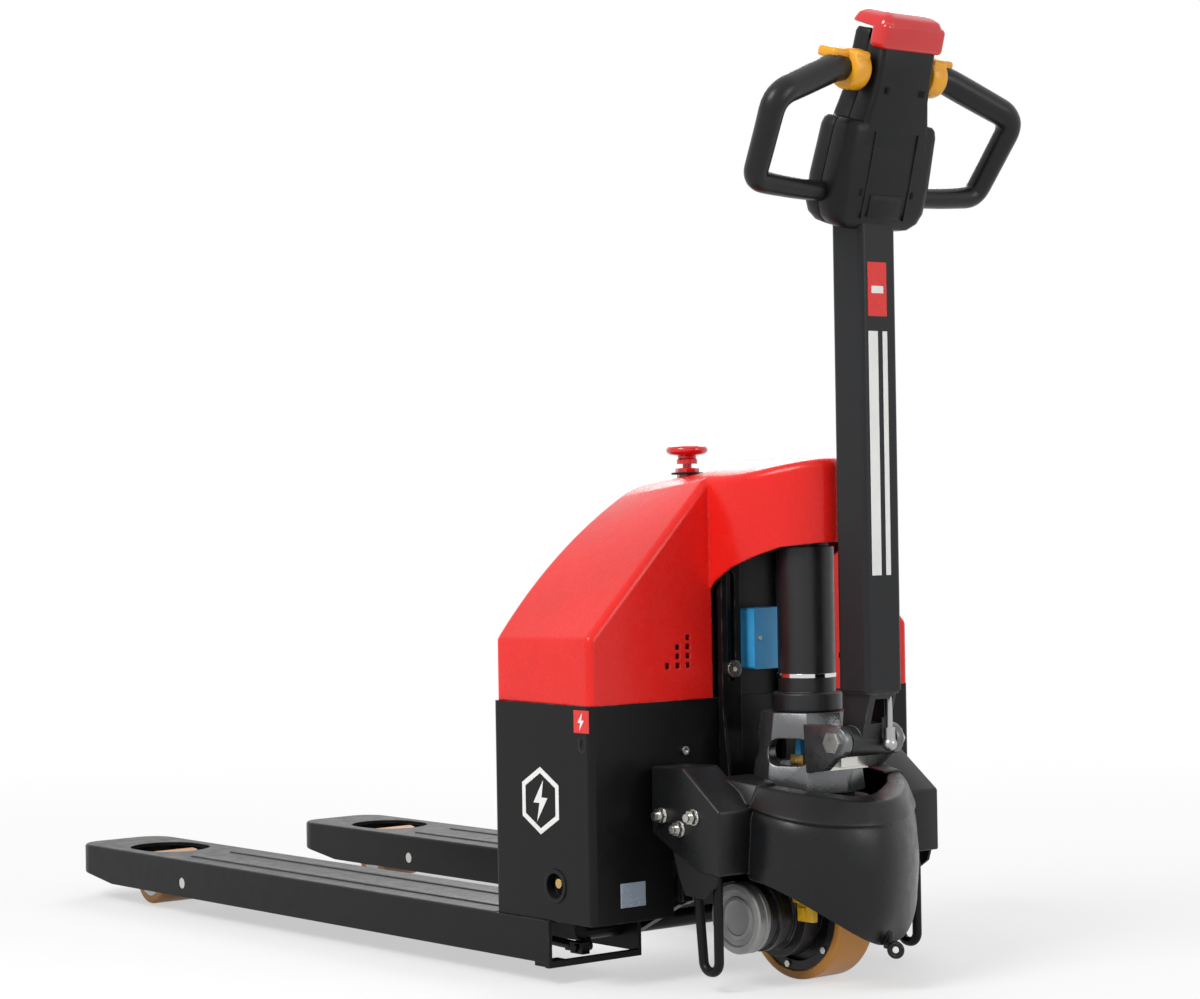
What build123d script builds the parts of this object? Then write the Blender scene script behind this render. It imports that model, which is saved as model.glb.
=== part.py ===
"""Compact electric pallet truck: forks, lifting battery frame, steered drive unit and tiller.

While building, X runs from the load face of the battery box towards the tiller, Y across and
Z up from the floor.  Every piece is moved along X as it is saved, so that the origin of the
finished model is on the floor under the middle of its footprint.
"""
import math
import os
from build123d import *

# ---- overall sizes (mm) ----
WIDTH = 560                 # over both forks
FORK_LENGTH = 1070          # load face to fork tip
FRONT_X = 500               # load face to the foremost point, the cap of the control head
LIFT = 110                  # lift height of the forks
CENTRE_X = (FRONT_X - FORK_LENGTH) / 2

# ---- forks ----
FORK_W = 150
FORK_TOP = 82
FORK_BOTTOM = 28
FORK_WALL = 5
FORK_Y = WIDTH / 2 - FORK_W / 2
FORK_HEEL = 112
BOX_SEAT = 1                # step in the fork top that the box stands in
FOOT_GROOVE = 2             # relief under the load face, so that the face ends level with the forks
TIP_BOTTOM = 44
TIP_SLOPE_END = -960

# ---- load rollers and their linkage ----
ROLLER_R = 39
ROLLER_W = 80
ROLLER_X = -906
ARM = 150                   # roller axle to arm pivot
ARM_PIVOT_Z = 48
CRANK = 20                  # pin radius of both cranks
ROCKER_X = 72
ROCKER_Z = 56
LINK_PIN_R = 6              # chassis pin that holds the rocker links
PIN_R = 10                  # load roller axle
ARM_PIN_R = 8               # pivot pin of a roller arm
FIT = 0.05                  # radial clearance of pins and shafts
GAP = 0.4                   # clearance between pieces that pass each other

# ---- battery box and hood ----
BODY_DEPTH = 195
BODY_HALF = 276
BOX_TOP = 350
BOX_FLOOR = 150
SHEET = 3
LINK_ROOM = 146             # half width of the cut-out for the rocker links
BAND_TOP = 433
RIDGE_TOP = 626
RIDGE_HALF = 82
RIDGE_R = 9                 # rounding of the hood ridges
HOOD_TOP = 645
HOOD_WALL = 4
NOSE_TOP = 653

# ---- steering and drive ----
STEER_X = 288
WHEEL_R = 86
WHEEL_W = 60
MOTOR_R = 44
MOTOR_END = -128
BRAKE_SWING = 136.8         # clear radius round the steering axis at full lock

# Bumper outline from above, near side first, then the crown that sits on it
BUMPER_WALL = 4
BUMPER_EYE = (345, -6)      # point that the outline is drawn in towards
EAR_BACK = 281              # rear end of the bevelled crown
BUMPER_PLAN = ((270, -138), (326, -137), (382, -136), (424, -106), (447, -62), (450, -30), (441, 10),
               (411, 64), (370, 106), (326, 134), (270, 138))
CROWN_PLAN = ((270, -139), (326, -124), (374, -100), (411, -72), (433, -46), (437, -30), (433, 4),
              (405, 54), (366, 96), (326, 124), (270, 139))
RIM_SLOPE = 0.17            # fall of the rim towards the nose, per mm
RIM_LOW = 281.4             # height of the groove plane at X = 0
RIM_TOP = 305.5             # height of the crown plane at X = 0
EAR_BOLTS = ((225, 213), (258, 199), (284, 215))

WELL_R = 140                # room for the motor to swing round
DECK_Z = 205                # underside of the chassis deck plate
DECK_T = 10
CYL_R = 36
PIVOT_X = 388               # tiller pivot
PIVOT_Z = 302

# ---- tiller ----
TUBE_X0 = 374
TUBE_X1 = 427
TUBE_HALF = 30
TUBE_Z0 = 364
HEAD_X = 408.55
HEAD_Z = 973
HEAD_TILT = 16.5
GRIP_Z = 146                # height of the grips on the head axis
GRIP_R = 15
LOOP_Z = -3                 # where a loop comes back to the head
LOOP_LEAN = 24              # forward lean of a loop at its outer bend

ARM_RISE = ARM_PIVOT_Z - ROLLER_R
SWING = math.degrees(math.asin((ARM_RISE + LIFT) / ARM) - math.asin(ARM_RISE / ARM))
ARM_PIVOT_X = ROLLER_X + math.sqrt(ARM ** 2 - ARM_RISE ** 2)
ROCKER_ARM = LIFT / 2 / math.sin(math.radians(SWING / 2))
LINK_X = ROCKER_X + ROCKER_ARM * math.cos(math.radians(SWING / 2))
LINK_Z = ROCKER_Z + LIFT / 2

CRANK_Y = -FORK_Y + 12
CRANK_PIN_R = 3.5

nodes = {}


# ---- shaping helpers ----
def block(x0, x1, y0, y1, z0, z1):
    """Box between two corners."""
    return Pos((x0 + x1) / 2, (y0 + y1) / 2, (z0 + z1) / 2) * Box(x1 - x0, y1 - y0, z1 - z0)


def bar_x(y, z, x0, x1, r):
    """Round bar along X."""
    return Pos((x0 + x1) / 2, y, z) * Rot(0, 90, 0) * Cylinder(r, abs(x1 - x0))


def bar_y(x, z, y0, y1, r):
    """Round bar along Y."""
    return Pos(x, (y0 + y1) / 2, z) * Rot(90, 0, 0) * Cylinder(r, abs(y1 - y0))


def bar_z(x, y, z0, z1, r):
    """Round bar along Z."""
    return Pos(x, y, (z0 + z1) / 2) * Cylinder(r, abs(z1 - z0))


def plate_xz(points, y0, y1):
    """Plate with an outline in the XZ plane, between two Y positions."""
    plane = Plane(origin=(0, y0, 0), x_dir=(1, 0, 0), z_dir=(0, -1, 0))
    return extrude(plane * make_face(Polyline(*points, close=True)), amount=y0 - y1)


def plate_xy(points, z0, z1):
    """Plate with an outline in the XY plane, between two heights."""
    face = Plane.XY.offset(z0) * make_face(Polyline(*points, close=True))
    return extrude(face, amount=z1 - z0)


def other_side(part):
    """The same piece on the far side of the truck."""
    return mirror(part, about=Plane.XZ)


def both(part):
    """A piece and its mirror image, as separate solids."""
    return Compound(children=[part, other_side(part)])


def hex_bolt_y(x, z, y, direction, across=13, head=7, stem=0):
    """Hexagon head on a face that looks along Y."""
    plane = Plane(origin=(x, y, z), x_dir=(1, 0, 0), z_dir=(0, direction, 0))
    bolt = plane * extrude(RegularPolygon(across / 2, 6, major_radius=False), amount=head)
    if stem:
        bolt = bolt + bar_y(x, z, y, y + direction * (head + stem), across * 0.3)
    return bolt


def cap_screw(plane, r=4, head=4):
    """Round socket screw head standing on a plane."""
    screw = plane * extrude(Circle(r), amount=head)
    return screw - plane * Pos(0, 0, head / 2) * extrude(RegularPolygon(r * 0.5, 6), amount=head)


# ---- forks ----
def fork():
    """U-channel blade with a closed, sloping tip, roller opening and a flanged heel."""
    y0, y1 = -WIDTH / 2, -WIDTH / 2 + FORK_W
    side = [(-FORK_LENGTH, TIP_BOTTOM), (-FORK_LENGTH, FORK_TOP), (FORK_HEEL, FORK_TOP),
            (FORK_HEEL, FORK_BOTTOM), (TIP_SLOPE_END, FORK_BOTTOM)]
    blade = plate_xz(side, y0, y1)
    tips = [e for e in blade.edges().filter_by(Axis.Z) if e.center().X < -FORK_LENGTH + 1]
    blade = fillet(tips, 42)
    long_edges = [e for e in blade.edges().filter_by(Axis.X) if e.center().Z > FORK_TOP - 1]
    blade = fillet(long_edges, 4)
    inner = [(-FORK_LENGTH + 22, 0), (-FORK_LENGTH + 22, FORK_TOP - FORK_WALL),
             (FORK_HEEL + 1, FORK_TOP - FORK_WALL), (FORK_HEEL + 1, 0)]
    channel = plate_xz(inner, y0 + FORK_WALL, y1 - FORK_WALL)
    nose = [e for e in channel.edges().filter_by(Axis.Z) if e.center().X < -FORK_LENGTH + 30]
    blade = blade - fillet(nose, 30)
    opening = Pos(ROLLER_X - 6, -FORK_Y, FORK_TOP) * extrude(SlotOverall(132, 108), 20, both=True)
    blade = blade - opening
    blade = blade - block(0, FORK_HEEL + 1, y0 - 1, y1 + 1, FORK_TOP - BOX_SEAT, FORK_TOP + 1)
    flange = block(FORK_HEEL - 8, FORK_HEEL, y0, y1, FORK_BOTTOM - 6, FORK_BOTTOM + 2)
    foot = block(FORK_HEEL - 34, FORK_HEEL, y0 + 4, y0 + 40, FORK_BOTTOM - 6, FORK_BOTTOM)
    blade = blade + flange + foot
    blade = blade - bar_y(ARM_PIVOT_X, ARM_PIVOT_Z, y0 - 1, y1 + 1, ARM_PIN_R + FIT)
    return blade - bar_y(ROCKER_X, ROCKER_Z, y1 - 8, y1 + 1, 12 + FIT)


def roller_arm():
    """Two cheeks on a cross tube, with an upright crank between them."""
    cheeks = None
    for y in (-FORK_Y - 51, -FORK_Y + 43):
        link = plate_xz([(ROLLER_X, 39 - 17), (ARM_PIVOT_X, ARM_PIVOT_Z - 19),
                         (ARM_PIVOT_X, ARM_PIVOT_Z + 19), (ROLLER_X, 39 + 17)], y, y + 8)
        link = link + bar_y(ROLLER_X, ROLLER_R, y, y + 8, 17) + bar_y(ARM_PIVOT_X, ARM_PIVOT_Z, y, y + 8, 19)
        cheeks = link if cheeks is None else cheeks + link
    tube = bar_y(ARM_PIVOT_X, ARM_PIVOT_Z, -FORK_Y - 44, -FORK_Y + 44, 15)
    waist = (CRANK_Y - 4, -FORK_Y - 12)
    tube = tube - bar_y(ARM_PIVOT_X, ARM_PIVOT_Z, *waist, 16) + bar_y(ARM_PIVOT_X, ARM_PIVOT_Z, *waist, 11)
    crank = Pos(ARM_PIVOT_X, CRANK_Y, ARM_PIVOT_Z) * Rot(0, SWING / 2, 0) * block(-7, 7, -4, 4, 0, CRANK)
    top_x = ARM_PIVOT_X + CRANK * math.sin(math.radians(SWING / 2))
    top_z = ARM_PIVOT_Z + CRANK * math.cos(math.radians(SWING / 2))
    pin = bar_y(top_x, top_z, CRANK_Y, -FORK_Y - 9, CRANK_PIN_R)
    arm = cheeks + tube + crank + bar_y(top_x, top_z, CRANK_Y - 4, CRANK_Y + 4, 6.4) + pin
    arm = arm - bar_y(ARM_PIVOT_X, ARM_PIVOT_Z, -FORK_Y - 60, -FORK_Y + 60, ARM_PIN_R + FIT)
    return arm - bar_y(ROLLER_X, ROLLER_R, -FORK_Y - 60, -FORK_Y + 60, PIN_R)


def load_roller():
    """Polyurethane load roller with a steel core."""
    tread = bar_y(ROLLER_X, ROLLER_R, -FORK_Y - ROLLER_W / 2, -FORK_Y + ROLLER_W / 2, ROLLER_R)
    ends = [e for e in tread.edges().filter_by(GeomType.CIRCLE)]
    tread = fillet(ends, 4)
    core = bar_y(ROLLER_X, ROLLER_R, -FORK_Y - ROLLER_W / 2, -FORK_Y + ROLLER_W / 2, 27)
    bore = bar_y(ROLLER_X, ROLLER_R, -FORK_Y - 60, -FORK_Y + 60, PIN_R + FIT)
    return tread - core, core - bore


def push_rod():
    """Round rod from the rocker crank to the roller arm, with a slotted eye at each end."""
    half = math.radians(SWING / 2)
    x_arm = ARM_PIVOT_X + CRANK * math.sin(half)
    z_arm = ARM_PIVOT_Z + CRANK * math.cos(half)
    x_rock = ROCKER_X + CRANK * math.sin(half)
    z_rock = ROCKER_Z - CRANK * math.cos(half)
    slope = math.degrees(math.atan2(z_arm - z_rock, x_rock - x_arm))
    length = math.hypot(x_rock - x_arm, z_arm - z_rock)
    middle = Pos((x_arm + x_rock) / 2, -FORK_Y, (z_arm + z_rock) / 2) * Rot(0, slope, 0)
    rod = middle * Rot(0, 90, 0) * Cylinder(6, length - 30)
    ends = ((x_arm, z_arm + 1.1, 1), (x_rock, z_rock - 1.1, -1))
    for x, z, inward in ends:
        eye = block(-12, 12, -6, 6, -7.3, 7.3) + block(*sorted((0, inward * 24)), -5, 5, -5, 5)
        rod = rod + Pos(x, -FORK_Y, z) * eye
    for x, z, inward in ends:
        plane = Plane(origin=(x, -FORK_Y - 7, z), x_dir=(0, 0, 1), z_dir=(0, 1, 0))
        rod = rod - plane * extrude(SlotOverall(10.4, 2 * CRANK_PIN_R + 1), amount=14)
    return rod


def rocker():
    """Cross shaft under the battery box, with two links to the chassis and two rod cranks."""
    half = math.radians(SWING / 2)
    shaft = bar_y(ROCKER_X, ROCKER_Z, CRANK_Y - 4, -CRANK_Y + 4, 12)
    for side in (-1, 1):
        y0, y1 = sorted((side * 112, side * 124))
        link = plate_xz([(ROCKER_X - 3, ROCKER_Z + 15), (ROCKER_X + 8, ROCKER_Z - 14),
                         (LINK_X + 4, LINK_Z - 10), (LINK_X - 3, LINK_Z + 11)], y0, y1)
        link = link + bar_y(ROCKER_X, ROCKER_Z, y0, y1, 17)
        slot_r = ROCKER_ARM * (1 + math.cos(half)) / 2
        travel = ROCKER_ARM * (1 - math.cos(half))
        end = Plane(origin=(ROCKER_X + slot_r * math.cos(half), y0, ROCKER_Z + slot_r * math.sin(half)),
                    x_dir=(math.cos(half), 0, math.sin(half)), z_dir=(0, 1, 0))
        link = link + end * extrude(SlotOverall(travel + 28, 28), amount=y1 - y0)
        slot_width = 2 * LINK_PIN_R + 3
        link = link - end * extrude(SlotOverall(travel + slot_width, slot_width), 2 * (y1 - y0), both=True)
        x = ROCKER_X + CRANK * math.sin(half)
        z = ROCKER_Z - CRANK * math.cos(half)
        crank_y = -side * CRANK_Y
        crank = Pos(ROCKER_X, crank_y, ROCKER_Z) * Rot(0, -SWING / 2, 0) * block(-6, 6, -4, 4, -CRANK, 0)
        boss = bar_y(x, z, crank_y - 4, crank_y + 4, 6.4)
        pin = bar_y(x, z, *sorted((crank_y, side * (FORK_Y + 9))), CRANK_PIN_R)
        shaft = shaft + link + crank + boss + pin
    return shaft


# ---- battery box, hood and what they hold ----
def battery_box():
    """Folded steel box on the fork heels, with a round well for the drive motor."""
    outer = block(0, BODY_DEPTH, -BODY_HALF, BODY_HALF, FORK_TOP - BOX_SEAT, BOX_TOP)
    corners = outer.edges().filter_by(Axis.Z)
    outer = fillet(corners, 8)
    outer = outer - bar_z(STEER_X, 0, FORK_TOP - 5, 250, WELL_R)
    inner = block(SHEET, BODY_DEPTH - SHEET, -BODY_HALF + SHEET, BODY_HALF - SHEET, BOX_FLOOR + SHEET, BOX_TOP + 1)
    inner = fillet(inner.edges().filter_by(Axis.Z), 5) - bar_z(STEER_X, 0, 0, 250 + SHEET, WELL_R + SHEET)
    skirt = block(SHEET, BODY_DEPTH - SHEET, -BODY_HALF + SHEET, BODY_HALF - SHEET, 0, BOX_FLOOR)
    skirt = skirt - bar_z(STEER_X, 0, 0, 250, WELL_R + SHEET)
    box = outer - inner - skirt
    box = box - block(50, BODY_DEPTH + 1, -LINK_ROOM, LINK_ROOM, 0, BOX_FLOOR)
    box = box - block(-1, FOOT_GROOVE, -BODY_HALF - 1, BODY_HALF + 1, 0, FORK_TOP)
    socket = bar_y(122, 125, -BODY_HALF - 1, -BODY_HALF + SHEET + 1, 21)
    key = Pos(177, -BODY_HALF, 304) * Rot(90, 0, 0) * extrude(SlotOverall(20, 12, rotation=90), 6, both=True)
    return box - socket - key


def hood_section(x, half, band, ridge_half, ridge_z, top, bulge, base):
    """Closed section of the hood across the truck at one X."""
    mid_y = (half + ridge_half) / 2
    mid_z = (band + ridge_z) / 2
    plane = Plane(origin=(x, 0, 0), x_dir=(0, 1, 0), z_dir=(1, 0, 0))
    left = Spline((-half, band), (-mid_y - bulge * 0.6, mid_z + bulge * 0.8), (-ridge_half, ridge_z))
    roof = Spline((-ridge_half, ridge_z), (0, top), (ridge_half, ridge_z))
    right = Spline((ridge_half, ridge_z), (mid_y + bulge * 0.6, mid_z + bulge * 0.8), (half, band))
    lower = Polyline((half, band), (half, base), (-half, base), (-half, band))
    return plane * make_face([left, roof, right] + lower.edges())


def hood_body(wall, base):
    """Lofted main volume of the hood, drawn in by a wall thickness."""
    slope = wall * 1.3
    back = hood_section(wall, BODY_HALF - 5 - wall, BAND_TOP - 5 - wall * 0.5, 62, 605 - slope, 622 - wall, 14, base)
    front = hood_section(BODY_DEPTH - wall, BODY_HALF - wall, BAND_TOP - wall * 0.5, RIDGE_HALF,
                         RIDGE_TOP - slope, HOOD_TOP - wall, 0, base)
    return loft([back, front], ruled=True)


def hood_nose(wall, z0):
    """Rounded nose of the hood, over the lift cylinder."""
    half = 78 - wall
    start = BODY_DEPTH - 12 if wall else BODY_DEPTH - 20
    tip = 347 - wall
    lines = [Line((start, -half), (215, -half)),
             Spline((215, -half), (300, -55 + wall), (tip, 0), (300, 55 - wall), (215, half),
                    tangents=[(1, 0), (-1, 0)]),
             Line((215, half), (start, half)), Line((start, half), (start, -half))]
    nose = Plane.XY.offset(z0) * make_face(lines)
    nose = extrude(nose, amount=NOSE_TOP + 20 - z0)
    plane = Plane(origin=(start - 5, 0, 0), x_dir=(0, 1, 0), z_dir=(1, 0, 0))
    crown = [ThreePointArc((-84, 622 - wall), (0, NOSE_TOP - 3 - wall), (84, 622 - wall)),
             Line((84, 622 - wall), (84, z0 - 1)), Line((84, z0 - 1), (-84, z0 - 1)),
             Line((-84, z0 - 1), (-84, 622 - wall))]
    nose = nose & extrude(plane * make_face(crown), amount=300)
    rim = [e for e in nose.edges() if e.center().Z > 600 and e.center().X > 216]
    return fillet(rim, 12 - wall)


def hood():
    """Moulded hood: sloping shell, nose with an arched lower edge, vents at the front."""
    body = hood_body(0, BOX_TOP)
    ridges = [e for e in body.edges() if e.center().Z > BOX_TOP + 5]
    outer = fillet(ridges, RIDGE_R) + hood_nose(0, 470)
    inner = hood_body(HOOD_WALL, BOX_TOP - 1) + hood_nose(HOOD_WALL, 440)
    arch = plate_xz([(BODY_DEPTH - 12, BOX_TOP - 1), (BODY_DEPTH - 12, 486), (205, 498), (232, 514), (262, 526),
                     (300, 540), (348, 546), (360, 546), (360, BOX_TOP - 1)], -75, 75)
    under = plate_xz([(BODY_DEPTH + 0.01, 300), (BODY_DEPTH + 0.01, 488), (205, 498), (232, 514), (262, 526),
                      (300, 540), (348, 546), (370, 546), (370, 300)], -120, 120)
    shell = outer - inner - arch - under
    vents = [(116, z) for z in (428, 416.5, 405, 393.5)] + [(133, z) for z in (416.5, 405, 393.5)] + [(150, 393.5)]
    for y, z in vents:
        for side in (-1, 1):
            shell = shell - block(BODY_DEPTH - 8, BODY_DEPTH + 4, side * y - 3.5, side * y + 3.5, z - 3.5, z + 3.5)
    return shell - bar_z(67, 0, 590, 660, 14)


def lift_tower():
    """Mast plate behind the cylinder, its foot on the box and the head that the rod pushes."""
    tower = block(184, 192 - 0.01, -62, 62, BOX_FLOOR + 125, 600)
    head = block(184, 296, -24, 24, 578, 600) + bar_z(STEER_X, 0, 578, 600, 24)
    ribs = plate_xz([(192, 578), (192, 558), (250, 578)], -24, -18)
    tower = tower + head + ribs + other_side(ribs)
    return tower


def guide_studs():
    """Shouldered studs of the fork frame that run in the chassis slots."""
    stud = bar_x(-54, 386, 192, 209, 6.5) + bar_x(-54, 386, 208 + GAP, 214, 11)
    stud = stud - Plane(origin=(211, -54, 386), x_dir=(0, 1, 0), z_dir=(1, 0, 0)) * extrude(
        RegularPolygon(3.5, 6), amount=6)
    return both(stud)


# ---- chassis that carries the drive and stays down ----
def chassis_frame():
    """Welded deck plate with guide uprights, wing plates and the lugs of the rocker links."""
    deck = plate_xy([(200, -184), (300, -184), (312, -112), (350, -92), (392, -52), (392, 52), (350, 92),
                     (312, 112), (300, 184), (200, 184)], DECK_Z, DECK_Z + DECK_T)
    deck = deck - bar_z(STEER_X, 0, DECK_Z - 1, DECK_Z + DECK_T + 1, 62)
    upright = block(200, 208, -70, -38, DECK_Z + DECK_T, 528)
    slot = Plane(origin=(196, -54, 440), x_dir=(0, 0, 1), z_dir=(1, 0, 0)) * extrude(
        SlotOverall(140, 13 + 2 * FIT), amount=20)
    upright = upright - slot
    brace = plate_xz([(208, DECK_Z + DECK_T), (222, DECK_Z + DECK_T), (208, 330)], -70, -66)
    wing = plate_xz([(204, DECK_Z), (204, 256), (262, 256), (296, 230), (296, DECK_Z)], -184, -178)
    lug = block(200, 208, -142, -126, 100, DECK_Z) + plate_xz(
        [(200, 100), (200, 150), (LINK_X - 9, LINK_Z + 9), (LINK_X - 9, LINK_Z - 9)], -138, -126)
    pin = bar_y(LINK_X, LINK_Z, -130, -110, LINK_PIN_R)
    for piece in (upright, brace, wing, lug, pin):
        deck = deck + piece + other_side(piece)
    return deck


def bumper_ring(points, inset, height, slope):
    """Closed outline of the bumper on a plane that falls towards the nose."""
    plane = Plane(origin=(0, 0, height), x_dir=(1, 0, -slope), z_dir=(slope, 0, 1))
    moved = []
    for x, y in points:
        reach = math.hypot(x - BUMPER_EYE[0], y - BUMPER_EYE[1])
        k = 1 - inset / reach
        moved.append((BUMPER_EYE[0] + (x - BUMPER_EYE[0]) * k, BUMPER_EYE[1] + (y - BUMPER_EYE[1]) * k))
    edges = [Line(moved[0], moved[1]), Spline(*moved[1:-1]), Line(moved[-2], moved[-1]), Line(moved[-1], moved[0])]
    return plane * make_face(edges)


def bumper_crown(wall):
    """Bevelled upper part of the bumper, drawn in by a wall thickness."""
    low = bumper_ring(BUMPER_PLAN, wall, RIM_LOW + (-20 if wall else 0), RIM_SLOPE)
    top = bumper_ring(CROWN_PLAN, wall, RIM_TOP - wall * 1.1, RIM_SLOPE)
    return loft([low, top], ruled=True)


def bumper_bowl(wall):
    """Bowl below the rim, fullest at mid height and drawn in towards the floor."""
    sections = [bumper_ring(BUMPER_PLAN, wall + inset, height, slope)
                for inset, height, slope in ((34, 40, 0), (12, 66, 0), (2, 100, 0), (-3, 140, 0.03),
                                             (3, RIM_LOW + (4 if wall else 0.01), RIM_SLOPE))]
    return loft(sections, ruled=True)


def drive_bumper():
    """Plastic bumper over the drive: bowl, bevelled crown and a bolted ear each side."""
    bowl = bumper_bowl(0) - bumper_bowl(BUMPER_WALL)
    lower_cut = plate_xz([(200, 0), (200, 150), (326, 145), (360, 122), (405, 92), (436, 62), (520, 44),
                          (520, 0)], -200, 200)
    bowl = bowl - lower_cut - block(200, 326, -200, 200, 0, 300)
    crown = bumper_crown(0) - bumper_crown(BUMPER_WALL)
    crown = crown - block(200, EAR_BACK, -200, 200, 0, 300) - block(200, 326, -200, 200, 0, 222)
    ear = plate_xz([(205, 272), (264, 274), (330, 224), (330, 146), (290, 150), (240, 172), (205, 190)], -189, -130)
    pocket = plate_xz([(200, 268), (262.5, 269.7), (325, 222), (325, 100), (200, 100)], -185, -126)
    ear = ear - pocket
    web = block(326, 330, -136, -122, 146, 222)
    shell = bowl + crown + ear + other_side(ear) + web + other_side(web)
    shell = shell - bar_z(STEER_X, 0, 216, 320, 80)
    brake_path = bar_z(STEER_X, 0, 38, 132, BRAKE_SWING) & block(380, 440, -47, 47, 38, 132)
    shell = shell - brake_path
    well = Pos(388, 0, 200) * extrude(Ellipse(33, 37), amount=90)
    for x, z in EAR_BOLTS:
        hole = bar_y(x, z, -190, -180, 4.2)
        shell = shell - hole - other_side(hole)
    return shell - well


def ear_bolts():
    """Long zinc bolts with nuts that hold the ears to the wing plates."""
    bolts = []
    for x, z in EAR_BOLTS:
        nut = hex_bolt_y(x, z, -189, -1, across=16, head=8)
        tail = bar_y(x, z, -197, -203, 5)
        shank = bar_y(x, z, -189, -184, 4)
        washer = bar_y(x, z, -189, -190.5, 10)
        bolt = nut + tail + shank + washer
        bolts += [bolt, other_side(bolt)]
    return Compound(children=bolts)


def skid_loop(y):
    """Bent round bar that keeps the truck from tipping over sideways."""
    path = FilletPolyline((261.6, y, DECK_Z + 4), (279, y, 26), (306, y, 26), (306, y, DECK_Z + 4), radius=13)
    start = Plane(origin=path @ 0, z_dir=path % 0)
    return sweep(start * Circle(6), path=path) & block(240, 330, y - 10, y + 10, 0, DECK_Z - 0.1)


def skid_flap():
    """Rubber flap hung under an ear."""
    outline = [(238, 176), (322, 150), (316, 132), (292, 116), (262, 118), (250, 140)]
    return plate_xz(outline, -185, -181)


# ---- steered drive unit ----
def drive_head():
    """Cast hub in the steering bearing with one arm down to the gearbox."""
    hub = bar_z(STEER_X, 0, DECK_Z - 3, 236, 57.6)
    flange = bar_z(STEER_X, 0, 180, DECK_Z - GAP, 66)
    arm = block(STEER_X - 42, STEER_X + 42, -58, -37, 100, 184) - bar_y(STEER_X, WHEEL_R, -70, -30, 54)
    return hub + flange + arm


def gearbox():
    """Planetary gearbox beside the wheel."""
    case = bar_y(STEER_X, WHEEL_R, -60, -36, 54)
    output = bar_y(STEER_X, WHEEL_R, -36, -WHEEL_W / 2 - GAP, 34)
    shaft = bar_y(STEER_X, WHEEL_R, -WHEEL_W / 2 - GAP, WHEEL_W / 2, 16)
    return case + output + shaft


def drive_motor():
    """Finned motor body, bolted to the gearbox by its flange."""
    body = bar_y(STEER_X, WHEEL_R, -104, -60, 41)
    flange = bar_y(STEER_X, WHEEL_R, -68, -60, 45)
    ring = bar_y(STEER_X, WHEEL_R, -92, -84, 44)
    boss = block(STEER_X + 20, STEER_X + 46, -66, -60, 96, 118)
    return body + flange + ring + boss


def motor_brake():
    """Round brake housing on the end of the motor, with stepped rings on its face."""
    drum = bar_y(STEER_X, WHEEL_R, MOTOR_END, -104, MOTOR_R)
    drum = drum - bar_y(STEER_X, WHEEL_R, MOTOR_END - 1, MOTOR_END + 3, 33)
    drum = drum + bar_y(STEER_X, WHEEL_R, MOTOR_END + 1, MOTOR_END + 4, 22)
    return drum


def wheel_tread():
    """Polyurethane tread of the drive wheel."""
    ring = bar_y(STEER_X, WHEEL_R, -WHEEL_W / 2, WHEEL_W / 2, WHEEL_R)
    ring = fillet(ring.edges().filter_by(GeomType.CIRCLE), 5)
    return ring - bar_y(STEER_X, WHEEL_R, -WHEEL_W, WHEEL_W, 75)


def wheel_hub():
    """Cast wheel centre with a recess each side."""
    disc = bar_y(STEER_X, WHEEL_R, -WHEEL_W / 2 + 2, WHEEL_W / 2 - 2, 75)
    for side in (-1, 1):
        y = side * (WHEEL_W / 2 - 2)
        groove = bar_y(STEER_X, WHEEL_R, y, y - side * 10, 62) - bar_y(STEER_X, WHEEL_R, y, y - side * 10, 40)
        disc = disc - groove
    return disc - bar_y(STEER_X, WHEEL_R, -WHEEL_W, WHEEL_W, 16 + FIT)


def wheel_bolts():
    """Screws round both faces of the wheel centre."""
    bolts = []
    for k in range(6):
        a = math.radians(60 * k + 20)
        x, z = STEER_X + 68.5 * math.cos(a), WHEEL_R + 68.5 * math.sin(a)
        bolts.append(hex_bolt_y(x, z, -WHEEL_W / 2 + 2, -1, across=8, head=3))
        bolts.append(hex_bolt_y(x, z, WHEEL_W / 2 - 2, 1, across=8, head=3))
    return Compound(children=bolts)


def motor_bracket():
    """Yellow cast bracket that locks the motor flange to the drive head."""
    body = block(STEER_X + 22, STEER_X + 58, -60, -38, 118, 146)
    body = body + block(STEER_X + 43, STEER_X + 58, -60, -38, 92, 146)
    ring = bar_y(STEER_X, WHEEL_R, -70, -30, 54.2)
    arm_room = block(STEER_X - 42.2, STEER_X + 42.2, -58.2, -36.8, 99, 185)
    return body - ring - arm_room


def pump_base():
    """Eight-sided cast housing under the lift cylinder, with slotted windows and tiller lugs."""
    lower = Plane.XY.offset(236) * RegularPolygon(66, 8, major_radius=False, rotation=22.5)
    upper = Plane.XY.offset(334) * RegularPolygon(54, 8, major_radius=False, rotation=22.5)
    body = Pos(STEER_X, 0, 0) * loft([lower, upper])
    body = body - bar_z(STEER_X, 0, 246, 322, 45)
    for turn in (-45, 45, 180):
        window = Rot(0, 0, turn) * Plane(origin=(30, 0, 286), x_dir=(0, 1, 0), z_dir=(1, 0, 0)) * extrude(
            SlotOverall(66, 36), amount=60)
        body = body - Pos(STEER_X, 0, 0) * window
    lug = plate_xz([(330, 262), (330, 322), (PIVOT_X, PIVOT_Z + 20), (PIVOT_X, PIVOT_Z - 20), (360, 262)], -50, -38)
    lug = lug + bar_y(PIVOT_X, PIVOT_Z, -50, -38, 20) - bar_y(PIVOT_X, PIVOT_Z, -51, -37, 9)
    lug = lug + block(322, 332, -50, -30, 262, 322)
    lug = lug - bar_z(STEER_X, 0, 246, 322, 45)
    return body + lug + other_side(lug)


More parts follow.
